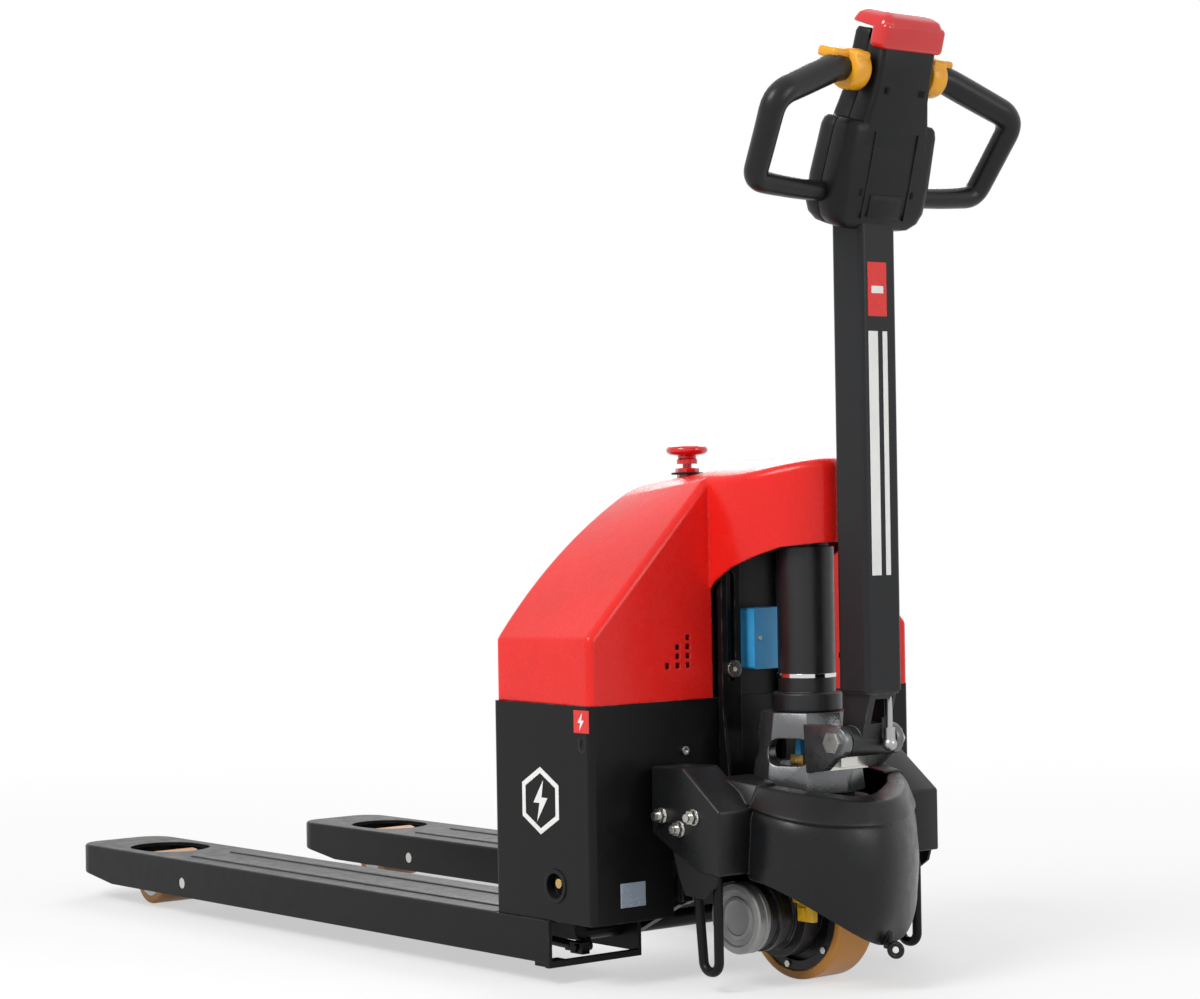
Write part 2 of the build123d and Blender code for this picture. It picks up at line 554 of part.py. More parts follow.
def valve_block():
    """Brass lowering valve with its plate and plug inside the pump base."""
    brass = block(STEER_X + 4, STEER_X + 26, -34, -14, 262, 282)
    plate = bar_z(STEER_X + 6, -14, 246, 249, 28)
    post = bar_z(STEER_X + 15, -24, 249, 262, 6)
    return plate + post + brass


def valve_plug():
    """Small blue coil plug on the valve."""
    return loft([Plane.XY.offset(282) * Pos(STEER_X + 12, -24) * Rectangle(10, 10),
                 Plane.XY.offset(306) * Pos(STEER_X + 10, -24) * Rectangle(5, 5)])


def lift_cylinder():
    """Lift cylinder with a foot collar and a gland nut."""
    tube = bar_z(STEER_X, 0, 334, 540, CYL_R)
    collar = fillet(bar_z(STEER_X, 0, 334, 358, 44).edges().filter_by(GeomType.CIRCLE), 3)
    gland = bar_z(STEER_X, 0, 540, 552, 30)
    return tube + collar + gland - bar_z(STEER_X, 0, 345, 553, 18 + FIT)


def tiller_switch():
    """Plated bracket with the switch that senses the tiller's position."""
    plate = block(352, 356, -38, 38, 264, 296)
    return plate + block(356, 366, -18, 10, 268, 290)


# ---- tiller ----
def head_place(part):
    """Puts a piece of the control head on the tilted head axis."""
    return Pos(HEAD_X, 0, HEAD_Z) * Rot(0, HEAD_TILT, 0) * part


def tiller_tube():
    """Rectangular steel tube, open at its lower end."""
    outer = block(TUBE_X0, TUBE_X1, -TUBE_HALF, TUBE_HALF, TUBE_Z0, 950)
    outer = fillet(outer.edges().filter_by(Axis.Z), 7)
    inner = block(TUBE_X0 + 3, TUBE_X1 - 3, -TUBE_HALF + 3, TUBE_HALF - 3, TUBE_Z0 - 1, 951)
    return outer - fillet(inner.edges().filter_by(Axis.Z), 4)


def tiller_yoke():
    """Cast end of the tiller with its pivot boss and a plug that fills the tube."""
    boss = bar_y(PIVOT_X, PIVOT_Z, -36, 36, 19)
    stem = plate_xz([(PIVOT_X - 17, PIVOT_Z), (PIVOT_X + 17, PIVOT_Z - 4), (TUBE_X1 - 4, TUBE_Z0),
                     (TUBE_X0 + 4, TUBE_Z0)], -22, 22)
    plug = block(TUBE_X0 + 3.1, TUBE_X1 - 3.1, -TUBE_HALF + 3.1, TUBE_HALF - 3.1, TUBE_Z0 - 4, TUBE_Z0 + 60)
    plug = fillet(plug.edges().filter_by(Axis.Z), 4)
    yoke = boss + stem + plug - bar_y(PIVOT_X, PIVOT_Z, -40, 40, 9 + FIT)
    cut = block(PIVOT_X - 30, PIVOT_X + 60, -12, 12, PIVOT_Z + 22, TUBE_Z0 - 10)
    spring_room = bar_z(416, 16, TUBE_Z0 - 90, TUBE_Z0 + 61, 5) + bar_z(416, 16, 280, 330, 9.5)
    return yoke - cut - spring_room


def gas_spring():
    """Rod of the gas spring that lifts the tiller, with its ball end."""
    rod = bar_z(416, 16, 318, TUBE_Z0 + 60, 4)
    socket = bar_z(416, 16, 300, 318, 7) + Pos(416, 16, 298) * Sphere(9)
    return rod + socket


def rounded_block(x, y, z0, z1, r, top_r=0):
    """Block about the head axis with rounded upright corners."""
    part = block(-x, x, -y, y, z0, z1)
    part = fillet(part.edges().filter_by(Axis.Z), r)
    if top_r:
        part = fillet(part.edges().group_by(Axis.Z)[0], top_r)
    return part


def head_body():
    """Full volume of the control head before it is split into its two shells."""
    lower = rounded_block(33, 80, -42, 88, 14, 14)
    neck = rounded_block(30, 50, 60, 186, 12)
    shoulder = loft([Plane.XY.offset(86) * RectangleRounded(64, 156, 14),
                     Plane.XY.offset(112) * RectangleRounded(60, 100, 12)])
    return lower + neck + shoulder


def head_shells():
    """Upper and lower shells of the control head."""
    cavity = rounded_block(28, 74, -36, 80, 10) + rounded_block(25, 45, 60, 182, 8)
    shell = head_body() - cavity - bar_y(0, GRIP_Z, -60, 60, GRIP_R + 0.2)
    for button in HEAD_BUTTONS.values():
        y, w, half_y, half_w = button
        shell = shell - block(-40, -20, y - half_y - GAP, y + half_y + GAP, w - half_w - GAP, w + half_w + GAP)
    for side in (-1, 1):
        shell = shell - bar_y(0, LOOP_Z, side * 60, side * 90, GRIP_R + 0.2)
    tube_cut = Pos(-HEAD_X, 0, -HEAD_Z) * block(TUBE_X0 - 0.2, TUBE_X1 + 0.2, -TUBE_HALF - 0.2, TUBE_HALF + 0.2,
                                                 800, 951)
    shell = shell - Rot(0, -HEAD_TILT, 0) * tube_cut
    lower = shell & block(0.1, 60, -120, 120, -80, 220)
    upper = shell & block(-60, -0.1, -120, 120, -80, 220)
    return lower, upper


HEAD_BUTTONS = {"lift_button": (-24, 60, 9, 12), "lower_button": (24, 60, 9, 12), "horn_button": (0, 20, 11, 8)}


def head_button(y, w, half_y, half_w):
    """Push button on the face that the operator looks at."""
    key = block(-37, -18, y - half_y, y + half_y, w - half_w, w + half_w)
    return fillet(key.edges().filter_by(Axis.X), 4)


def reverse_cap():
    """Red safety cap over the end of the head, deep at the front and thin at the back."""
    cap = rounded_block(33, 52, 190, 220, 14)
    cap = fillet(cap.edges().group_by(Axis.Z)[-1], 11)
    skirt = rounded_block(33, 52, 176, 191, 14) - rounded_block(30.6, 50.6, 170, 190, 12.5)
    wedge = plate_xz([(-40, 170), (-40, 206), (4, 196), (34, 176), (34, 170)], -60, 60)
    return cap + skirt - wedge


def handle_loop():
    """Bent tube of one handle, from the neck out and back to the lower body."""
    corners = [(0, -47, GRIP_Z), (0, -92, GRIP_Z), (LOOP_LEAN, -197, GRIP_Z - 35), (0, -190, 12),
               (0, -102, LOOP_Z), (0, -75, LOOP_Z)]
    path = FilletPolyline(*corners, radius=(44, 34, 34, 40))
    start = Plane(origin=path @ 0, z_dir=path % 0)
    return sweep(start * Circle(GRIP_R), path=path)


def throttle_wing():
    """Amber thumb wing that turns about the inner end of a grip."""
    sleeve = Pos(0, -65, GRIP_Z) * Rot(90, 0, 0) * Cylinder(25, 26)
    paddle = block(-24, 8, -108, -52, GRIP_Z + 17, GRIP_Z + 26)
    paddle = fillet(paddle.edges().filter_by(Axis.Z), 6)
    bore = Pos(0, -65, GRIP_Z) * Rot(90, 0, 0) * Cylinder(GRIP_R + 0.4, 120)
    return sleeve + paddle - bore


# ---- saving ----
def save(name, part):
    """Moves a piece into the finished frame, remembers it and writes its STEP file."""
    nodes[name] = Pos(-CENTRE_X, 0, 0) * part
    export_step(nodes[name], f"parts/{name}.step")


def build_forks():
    """Forks, rollers and the lifting linkage."""
    pieces = {"fork": fork(), "roller_arm": roller_arm(), "push_rod": push_rod()}
    tread, core = load_roller()
    pieces["load_roller_tread"] = tread
    pieces["load_roller_core"] = core
    for name, part in pieces.items():
        save(f"{name}_right", part)
        save(f"{name}_left", other_side(part))
    axle = bar_y(ROLLER_X, ROLLER_R, -FORK_Y - 51, -FORK_Y + 51, PIN_R)
    save("roller_axle_right", axle)
    save("roller_axle_left", other_side(axle))
    save("arm_pins", both(bar_y(ARM_PIVOT_X, ARM_PIVOT_Z, -WIDTH / 2 + 0.5, -WIDTH / 2 + FORK_W - 0.5, ARM_PIN_R)))
    save("rocker_shaft", rocker())


def build_body():
    """Battery box, hood and everything that lifts with them."""
    save("battery_box", battery_box())
    save("hood", hood())
    save("battery_pack", block(12, 136, -140, 110, BOX_FLOOR + SHEET, 318))
    tank = block(30, 126, 150, 262, BOX_FLOOR + SHEET, 250)
    save("oil_tank", fillet(tank.edges().filter_by(Axis.Z), 12))
    save("pump_motor", bar_z(78, 206, 250, 372, 38) + bar_z(78, 206, 372, 380, 20))
    save("lift_tower", lift_tower())
    save("guide_studs", guide_studs())
    panel = block(192, 218, -24, 30, 384, 462)
    save("controller_box", fillet(panel.edges().filter_by(Axis.X), 4))
    screws = [cap_screw(Plane(origin=(218, y, 424), x_dir=(0, 1, 0), z_dir=(1, 0, 0)), 3, 2.5) for y in (-16, 22)]
    screws += [cap_screw(Plane(origin=(BODY_DEPTH, y, 287), x_dir=(0, 1, 0), z_dir=(1, 0, 0)), 5.5, 4)
               for y in (-125, 125)]
    save("body_screws", Compound(children=screws))
    save("stop_knob_base", bar_z(67, 0, 618, 642, 13.6) + bar_z(67, 0, 636.4, 641, 21) - bar_z(67, 0, 622, 643, 6.4))
    neck = Pos(67, 0, 647.5) * extrude(RegularPolygon(14, 8), amount=10)
    disc = bar_z(67, 0, 657, 672, 27.5)
    disc = fillet(disc.edges().filter_by(GeomType.CIRCLE), 6)
    save("stop_knob", neck + disc + bar_z(67, 0, 628, 649, 6))
    cup = bar_y(122, 125, -BODY_HALF - 1.5, -BODY_HALF + 16, 20.9)
    save("charge_socket", cup - bar_y(122, 125, -BODY_HALF - 3, -BODY_HALF + 12, 16))
    save("charge_contact", bar_y(124, 128, -BODY_HALF + 3, -BODY_HALF + 12, 6))
    lock = Pos(177, -BODY_HALF, 304) * Rot(90, 0, 0) * extrude(SlotOverall(19.6, 11.6, rotation=90), amount=-14)
    save("key_lock", lock - block(176, 178, -BODY_HALF - 1, -BODY_HALF + 4, 299, 309))


def build_chassis():
    """Deck, bumper, skids and the steering bearing."""
    save("chassis_frame", chassis_frame())
    save("drive_bumper", drive_bumper())
    save("ear_bolts", ear_bolts())
    save("skid_loops", both(skid_loop(-171)))
    save("skid_flaps", both(skid_flap()))
    ring = bar_z(STEER_X, 0, DECK_Z + DECK_T, 227, 76) - bar_z(STEER_X, 0, 200, 230, 58)
    save("steering_bearing", ring)


def build_drive():
    """Everything that steers, below the tiller."""
    save("drive_head", drive_head())
    save("gearbox", gearbox())
    save("drive_motor", drive_motor())
    save("motor_brake", motor_brake())
    save("motor_bracket", motor_bracket())
    save("wheel_tread", wheel_tread())
    save("wheel_hub", wheel_hub())
    save("wheel_bolts", wheel_bolts())
    save("pump_base", pump_base())
    save("valve_block", valve_block())
    save("valve_plug", valve_plug())
    save("lift_cylinder", lift_cylinder())
    save("piston_rod", bar_z(STEER_X, 0, 346, 578 - GAP, 18))
    save("tiller_switch", tiller_switch())
    pin = bar_y(PIVOT_X, PIVOT_Z, -50, 50, 9) + hex_bolt_y(PIVOT_X, PIVOT_Z, -50, -1, 24, 8)
    save("tiller_pin", pin + hex_bolt_y(PIVOT_X, PIVOT_Z, 50, 1, 24, 8))


def build_tiller():
    """Tiller tube and the control head."""
    save("tiller_tube", tiller_tube())
    save("tiller_yoke", tiller_yoke())
    save("gas_spring", gas_spring())
    lower, upper = head_shells()
    save("head_shell_lower", head_place(lower))
    save("head_shell_upper", head_place(upper))
    for name, (y, w, half_y, half_w) in HEAD_BUTTONS.items():
        save(name, head_place(head_button(y, w, half_y, half_w)))
    save("reverse_cap", head_place(reverse_cap()))
    save("handle_loops", head_place(both(handle_loop())))
    save("throttle_wings", head_place(both(throttle_wing())))


os.makedirs("parts", exist_ok=True)
build_forks()
build_body()
build_chassis()
build_drive()
build_tiller()
print(len(nodes), "nodes; swing", round(SWING, 3), "rocker arm", round(ROCKER_ARM, 2),
      "arm pivot", round(ARM_PIVOT_X, 2), "link", round(LINK_X, 2), round(LINK_Z, 2))
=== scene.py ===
import bpy
import math
from mathutils import Matrix, Vector


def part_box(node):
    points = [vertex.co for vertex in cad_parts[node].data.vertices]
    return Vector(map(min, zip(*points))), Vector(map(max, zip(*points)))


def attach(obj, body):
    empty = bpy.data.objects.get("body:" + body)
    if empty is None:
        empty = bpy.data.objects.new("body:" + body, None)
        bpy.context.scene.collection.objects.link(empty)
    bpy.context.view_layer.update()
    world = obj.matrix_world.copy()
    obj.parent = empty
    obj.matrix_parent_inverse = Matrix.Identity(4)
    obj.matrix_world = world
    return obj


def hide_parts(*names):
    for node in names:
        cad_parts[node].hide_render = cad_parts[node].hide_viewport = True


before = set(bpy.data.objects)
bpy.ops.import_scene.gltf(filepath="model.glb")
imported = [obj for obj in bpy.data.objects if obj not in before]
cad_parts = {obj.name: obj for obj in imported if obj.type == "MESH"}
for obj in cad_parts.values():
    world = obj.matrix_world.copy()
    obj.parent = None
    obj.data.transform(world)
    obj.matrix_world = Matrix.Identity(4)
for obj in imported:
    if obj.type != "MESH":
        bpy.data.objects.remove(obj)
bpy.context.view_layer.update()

# ---- camera ----
# A long lens at hip height, off the tiller end on the motor's side, with a slight roll. It looks level
# across the truck, so that the tiller stands upright.
camera = bpy.data.cameras.new("camera")
camera.sensor_width = 36
camera.lens = 86.68
viewer = bpy.data.objects.new("camera", camera)
viewer.location = (3.2058, -2.5034, 0.6032)
viewer.rotation_euler = (math.radians(89.991), math.radians(0.93), math.radians(50.48))
bpy.context.collection.objects.link(viewer)
bpy.context.scene.camera = viewer
bpy.context.scene.view_settings.view_transform = "Standard"


# ---- studio ----
# Pale floor that fades into white surroundings, with a large soft key lamp and two weaker ones.
# Metal and gloss reflect the same white.
def lamp(name, place, target, size, power):
    data = bpy.data.lights.new(name, "AREA")
    data.shape = "DISK"
    data.size = size
    data.energy = power
    holder = bpy.data.objects.new(name, data)
    holder.location = place
    holder.rotation_euler = (Vector(target) - Vector(place)).to_track_quat("-Z", "Y").to_euler()
    bpy.context.collection.objects.link(holder)


lamp("key_lamp", (0.9, -3.0, 3.0), (0.3, 0.0, 0.4), 1.8, 105)
lamp("fill_lamp", (3.6, 1.0, 1.6), (0.5, 0.0, 0.5), 1.6, 26)
lamp("back_lamp", (-2.4, 2.4, 2.6), (0.0, 0.0, 0.3), 2.0, 45)


def white_to_camera(tree, lit, clear, share):
    """Mixes a plain white into what the camera and reflections see of the surroundings."""
    path = tree.nodes.new("ShaderNodeLightPath")
    seen = path.outputs["Is Camera Ray"]
    for ray_kind in ("Is Glossy Ray", "Is Transmission Ray"):
        either = tree.nodes.new("ShaderNodeMath")
        either.operation = "MAXIMUM"
        tree.links.new(seen, either.inputs[0])
        tree.links.new(path.outputs[ray_kind], either.inputs[1])
        seen = either.outputs[0]
    part = tree.nodes.new("ShaderNodeMath")
    part.operation = "MULTIPLY"
    if isinstance(share, float):
        part.inputs[1].default_value = share
    else:
        tree.links.new(share, part.inputs[1])
    tree.links.new(seen, part.inputs[0])
    mix = tree.nodes.new("ShaderNodeMixShader")
    tree.links.new(part.outputs[0], mix.inputs[0])
    tree.links.new(lit, mix.inputs[1])
    tree.links.new(clear, mix.inputs[2])
    return mix.outputs[0]


world = bpy.data.worlds.new("studio_world")
bpy.context.scene.world = world
world.use_nodes = True
world_tree = world.node_tree
sky = world_tree.nodes["Background"]
sky.inputs["Color"].default_value = (1, 1, 1, 1)
ray = world_tree.nodes.new("ShaderNodeTexCoord")
height = world_tree.nodes.new("ShaderNodeSeparateXYZ")
falloff = world_tree.nodes.new("ShaderNodeMapRange")
for socket, value in (("From Min", -0.1), ("From Max", 0.9), ("To Min", 0.26), ("To Max", 0.62)):
    falloff.inputs[socket].default_value = value
world_tree.links.new(ray.outputs["Generated"], height.inputs[0])
world_tree.links.new(height.outputs["Z"], falloff.inputs["Value"])
world_tree.links.new(falloff.outputs["Result"], sky.inputs["Strength"])
bright = world_tree.nodes.new("ShaderNodeBackground")
bright.inputs["Color"].default_value = (1, 1, 1, 1)
bright.inputs["Strength"].default_value = 1.0
world_tree.links.new(white_to_camera(world_tree, sky.outputs[0], bright.outputs[0], 1.0),
                     world_tree.nodes["World Output"].inputs["Surface"])

bpy.ops.object.select_all(action="DESELECT")
bpy.ops.mesh.primitive_plane_add(size=60)
floor = bpy.context.object
floor.name = "studio_floor"
sweep = bpy.data.materials.new("floor_sweep")
sweep.use_nodes = True
sweep_tree = sweep.node_tree
matt = sweep_tree.nodes["Principled BSDF"]
matt.inputs["Base Color"].default_value = (0.86, 0.86, 0.86, 1)
matt.inputs["Roughness"].default_value = 0.8
matt.inputs["Specular IOR Level"].default_value = 0.1
glow = sweep_tree.nodes.new("ShaderNodeEmission")
glow.inputs["Color"].default_value = (1, 1, 1, 1)
spot = sweep_tree.nodes.new("ShaderNodeTexCoord")
reach = sweep_tree.nodes.new("ShaderNodeVectorMath")
reach.operation = "LENGTH"
fade = sweep_tree.nodes.new("ShaderNodeMapRange")
for socket, value in (("From Min", 0.9), ("From Max", 2.8), ("To Min", 0.55), ("To Max", 1.0)):
    fade.inputs[socket].default_value = value
sweep_tree.links.new(spot.outputs["Object"], reach.inputs[0])
sweep_tree.links.new(reach.outputs["Value"], fade.inputs["Value"])
sweep_tree.links.new(white_to_camera(sweep_tree, matt.outputs[0], glow.outputs[0], fade.outputs["Result"]),
                     sweep_tree.nodes["Material Output"].inputs["Surface"])
floor.data.materials.append(sweep)


# ---- forks ----
# Two channel blades folded from 5 mm steel plate, with closed tips and oval openings for the rollers.
# They are welded to the battery box and powder coated black, and the coating rubs off along the edges.
def joined(tree, kind, **values):
    """A node with its settings and unlinked values given by name."""
    node = tree.nodes.new(kind)
    for name, value in values.items():
        setattr(node, name, value)
    return node


def surface_group():
    """Colour, roughness and normal of a made surface: grain, patches, rubbed edges and settled dust."""
    tree = bpy.data.node_groups.new("worn_surface", "ShaderNodeTree")
    grey = (0.5, 0.5, 0.5, 1)
    sockets = (("Paint", "NodeSocketColor", grey), ("Worn", "NodeSocketColor", grey),
               ("Grain Scale", "NodeSocketFloat", 500), ("Grain Depth", "NodeSocketFloat", 0.0001),
               ("Gloss", "NodeSocketFloat", 0.4), ("Wear", "NodeSocketFloat", 0.3),
               ("Dust", "NodeSocketFloat", 0.2), ("Edge Radius", "NodeSocketFloat", 0.0015))
    for name, kind, value in sockets:
        tree.interface.new_socket(name=name, in_out="INPUT", socket_type=kind).default_value = value
    for name, kind in (("Color", "NodeSocketColor"), ("Roughness", "NodeSocketFloat"),
                       ("Normal", "NodeSocketVector")):
        tree.interface.new_socket(name=name, in_out="OUTPUT", socket_type=kind)
    given = tree.nodes.new("NodeGroupInput")
    result = tree.nodes.new("NodeGroupOutput")
    link = tree.links.new
    place = tree.nodes.new("ShaderNodeTexCoord").outputs["Object"]

    def noise(scale, detail):
        node = joined(tree, "ShaderNodeTexNoise")
        node.inputs["Detail"].default_value = detail
        if isinstance(scale, (int, float)):
            node.inputs["Scale"].default_value = scale
        else:
            link(scale, node.inputs["Scale"])
        link(place, node.inputs["Vector"])
        return node.outputs["Fac"]

    def remap(value, low, high, to_low=0.0, to_high=1.0):
        node = joined(tree, "ShaderNodeMapRange")
        for name, number in (("From Min", low), ("From Max", high), ("To Min", to_low), ("To Max", to_high)):
            node.inputs[name].default_value = number
        link(value, node.inputs["Value"])
        return node.outputs["Result"]

    def combine(operation, first, second):
        node = joined(tree, "ShaderNodeMath", operation=operation)
        for socket, value in zip(node.inputs, (first, second)):
            if isinstance(value, (int, float)):
                socket.default_value = value
            else:
                link(value, socket)
        return node.outputs[0]

    def blend_colour(factor, first, second):
        node = joined(tree, "ShaderNodeMix", data_type="RGBA")
        link(factor, node.inputs["Factor"])
        for socket, value in ((node.inputs["A"], first), (node.inputs["B"], second)):
            if isinstance(value, tuple):
                socket.default_value = value
            else:
                link(value, socket)
        return node.outputs["Result"]

    soft = joined(tree, "ShaderNodeBevel", samples=6)
    link(given.outputs["Edge Radius"], soft.inputs["Radius"])
    shape = tree.nodes.new("ShaderNodeNewGeometry")
    facing = joined(tree, "ShaderNodeVectorMath", operation="DOT_PRODUCT")
    link(soft.outputs["Normal"], facing.inputs[0])
    link(shape.outputs["Normal"], facing.inputs[1])
    patches = noise(7.0, 5.0)
    scuffs = noise(55.0, 6.0)
    rim = remap(facing.outputs["Value"], 0.995, 0.90)
    rubbed = combine("MULTIPLY", combine("MULTIPLY", rim, remap(scuffs, 0.46, 0.62)), given.outputs["Wear"])
    up = joined(tree, "ShaderNodeSeparateXYZ")
    link(shape.outputs["Normal"], up.inputs[0])
    settled = combine("MULTIPLY", remap(up.outputs["Z"], 0.2, 1.0), remap(patches, 0.35, 0.75))
    settled = combine("MULTIPLY", settled, given.outputs["Dust"])
    shade = joined(tree, "ShaderNodeMix", data_type="RGBA", blend_type="MULTIPLY")
    link(remap(patches, 0.3, 0.7, 0.0, 0.5), shade.inputs["Factor"])
    link(given.outputs["Paint"], shade.inputs["A"])
    shade.inputs["B"].default_value = (0.72, 0.72, 0.72, 1)
    colour = blend_colour(rubbed, shade.outputs["Result"], given.outputs["Worn"])
    colour = blend_colour(settled, colour, (0.32, 0.31, 0.29, 1))
    link(colour, result.inputs["Color"])
    gloss = combine("ADD", given.outputs["Gloss"], remap(scuffs, 0.3, 0.7, -0.05, 0.07))
    link(combine("ADD", gloss, combine("MULTIPLY", settled, 0.6)), result.inputs["Roughness"])
    bump = joined(tree, "ShaderNodeBump")
    link(given.outputs["Grain Depth"], bump.inputs["Distance"])
    link(noise(given.outputs["Grain Scale"], 3.0), bump.inputs["Height"])
    link(soft.outputs["Normal"], bump.inputs["Normal"])
    link(bump.outputs["Normal"], result.inputs["Normal"])
    return tree


worn_surface = surface_group()


def finish(name, paint, worn, gloss, metallic=0.0, specular=0.5, grain=(500, 0.0001), wear=0.3, dust=0.1,
           edge=0.0015, coat=0.0):
    """Material of one finish, from its paint, its rubbed colour and the size and depth of its grain."""
    material = bpy.data.materials.new(name)
    material.use_nodes = True
    tree = material.node_tree
    shader = tree.nodes["Principled BSDF"]
    shader.inputs["Metallic"].default_value = metallic
    shader.inputs["Specular IOR Level"].default_value = specular
    shader.inputs["Coat Weight"].default_value = coat
    shader.inputs["Coat Roughness"].default_value = 0.15
    effect = joined(tree, "ShaderNodeGroup", node_tree=worn_surface)
    for socket, value in (("Paint", (*paint, 1)), ("Worn", (*worn, 1)), ("Grain Scale", grain[0]),
                          ("Grain Depth", grain[1]), ("Gloss", gloss), ("Wear", wear), ("Dust", dust),
                          ("Edge Radius", edge)):
        effect.inputs[socket].default_value = value
    for source, target in (("Color", "Base Color"), ("Roughness", "Roughness"), ("Normal", "Normal")):
        tree.links.new(effect.outputs[source], shader.inputs[target])
    return material


def dress(material, *names):
    """Gives CAD nodes their finish."""
    for name in names:
        piece = bpy.data.objects[name]
        piece.data.materials.clear()
        piece.data.materials.append(material)


black_coat = finish("black_powder_coat", (0.0050, 0.0050, 0.0055), (0.10, 0.10, 0.09), 0.34, specular=0.17,
                    grain=(900, 0.00012), wear=0.75, dust=0.05)
dress(black_coat, "fork_left", "fork_right")


# ---- pressed ribs of the forks ----
# Two long beads are pressed up along each blade to stiffen it. They are part of the plate and have
# its coating, which pallets rub off along their edges.
def clear_selection():
    """Leaves edit mode with nothing selected."""
    if bpy.context.object and bpy.context.object.mode != "OBJECT":
        bpy.ops.object.mode_set(mode="OBJECT")
    bpy.ops.object.select_all(action="DESELECT")


def take(piece):
    """Selects one piece alone and makes it the active one."""
    clear_selection()
    piece.select_set(True)
    bpy.context.view_layer.objects.active = piece


def rounded_bar(low, high, radius, segments=3):
    """Block between two corners with rounded edges."""
    clear_selection()
    middle = [(a + b) / 2 for a, b in zip(low, high)]
    bpy.ops.mesh.primitive_cube_add(size=1, location=middle, scale=[b - a for a, b in zip(low, high)])
    bpy.ops.object.transform_apply(location=True, rotation=True, scale=True)
    bpy.ops.object.mode_set(mode="EDIT")
    bpy.ops.mesh.select_all(action="SELECT")
    bpy.ops.mesh.bevel(offset=radius, segments=segments, affect="EDGES")
    bpy.ops.object.mode_set(mode="OBJECT")
    return bpy.context.object


def merge(pieces):
    """Joins objects into the first of them."""
    clear_selection()
    for piece in pieces:
        piece.select_set(True)
    bpy.context.view_layer.objects.active = pieces[0]
    if len(pieces) > 1:
        bpy.ops.object.join()
    return bpy.context.object


def settle(piece, name, body, material, replaced=(), smooth=35):
    """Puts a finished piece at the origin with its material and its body."""
    take(piece)
    bpy.ops.object.transform_apply(location=True, rotation=True, scale=True)
    bpy.ops.object.mode_set(mode="EDIT")
    bpy.ops.mesh.select_all(action="SELECT")
    bpy.ops.mesh.normals_make_consistent(inside=False)
    bpy.ops.object.mode_set(mode="OBJECT")
    bpy.ops.object.shade_smooth_by_angle(angle=math.radians(smooth))
    piece.name = name
    piece.data.materials.clear()
    piece.data.materials.append(material)
    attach(piece, body)
    if replaced:
        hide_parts(*replaced)
    return piece


rib_start, rib_end = 0.285, 1.04
rib_offset, rib_half, rib_rise = 0.034, 0.009, 0.0018
for node in ("fork_right", "fork_left"):
    low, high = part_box(node)
    ribs = []
    middle_y = (low[1] + high[1]) / 2
    for offset in (-rib_offset, rib_offset):
        rib = rounded_bar((low[0] + rib_start, middle_y + offset - rib_half, high[2] - 0.004),
                          (low[0] + rib_end, middle_y + offset + rib_half, high[2] + rib_rise), 0.0028, 4)
        ribs.append(rib)
    settle(merge(ribs), node + "_ribs", "fork_frame", black_coat)

# ---- battery box ----
# Box folded from 3 mm sheet and welded to the heels of the forks. It lifts with them and carries the
# battery, the pump, the hood and the mast plate that the lift cylinder pushes up. Both are coated with
# the same black powder as the forks.
dress(black_coat, "battery_box", "lift_tower")
(face, side_y, _), (end_x, _, _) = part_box("battery_box")


# ---- signs on the box ----
# Printed film signs stuck on the box, on the motor's side and the tiller end: a hexagon round a
# lightning flash, a red square that marks the key, and a plain pale data plate.
def laid_out(points, faces):
    """New piece from points and the faces between them."""
    mesh = bpy.data.meshes.new("outline")
    mesh.from_pydata(points, [], faces)
    piece = bpy.data.objects.new("outline", mesh)
    bpy.context.collection.objects.link(piece)
    return piece


def flat_shape(points, thickness):
    """Plate in the XZ plane, that grows towards -Y from the given outline."""
    piece = laid_out([(x, 0, z) for x, z in points], [list(range(len(points)))])
    take(piece)
    bpy.ops.object.mode_set(mode="EDIT")
    bpy.ops.mesh.select_all(action="SELECT")
    bpy.ops.mesh.extrude_region_move(TRANSFORM_OT_translate={"value": (0, -thickness, 0)})
    bpy.ops.object.mode_set(mode="OBJECT")
    return piece


def ring_shape(sides, outer, inner, place, thickness):
    """Flat ring of straight sides that faces -Y."""
    clear_selection()
    bpy.ops.mesh.primitive_circle_add(vertices=sides, radius=outer, fill_type="NGON")
    piece = bpy.context.object
    bpy.ops.object.mode_set(mode="EDIT")
    bpy.ops.mesh.select_all(action="SELECT")
    bpy.ops.mesh.inset(thickness=(outer - inner) * math.cos(math.pi / sides), depth=0)
    bpy.ops.mesh.delete(type="FACE")
    bpy.ops.mesh.select_all(action="SELECT")
    bpy.ops.mesh.extrude_region_move(TRANSFORM_OT_translate={"value": (0, 0, thickness)})
    bpy.ops.object.mode_set(mode="OBJECT")
    piece.rotation_euler = (math.pi / 2, 0, 0)
    piece.location = place
    bpy.ops.object.transform_apply(location=True, rotation=True, scale=True)
    return piece


def shifted(points, x, z, scale=1.0):
    """Outline points moved to a place and scaled."""
    return [(x + scale * px, z + scale * pz) for px, pz in points]


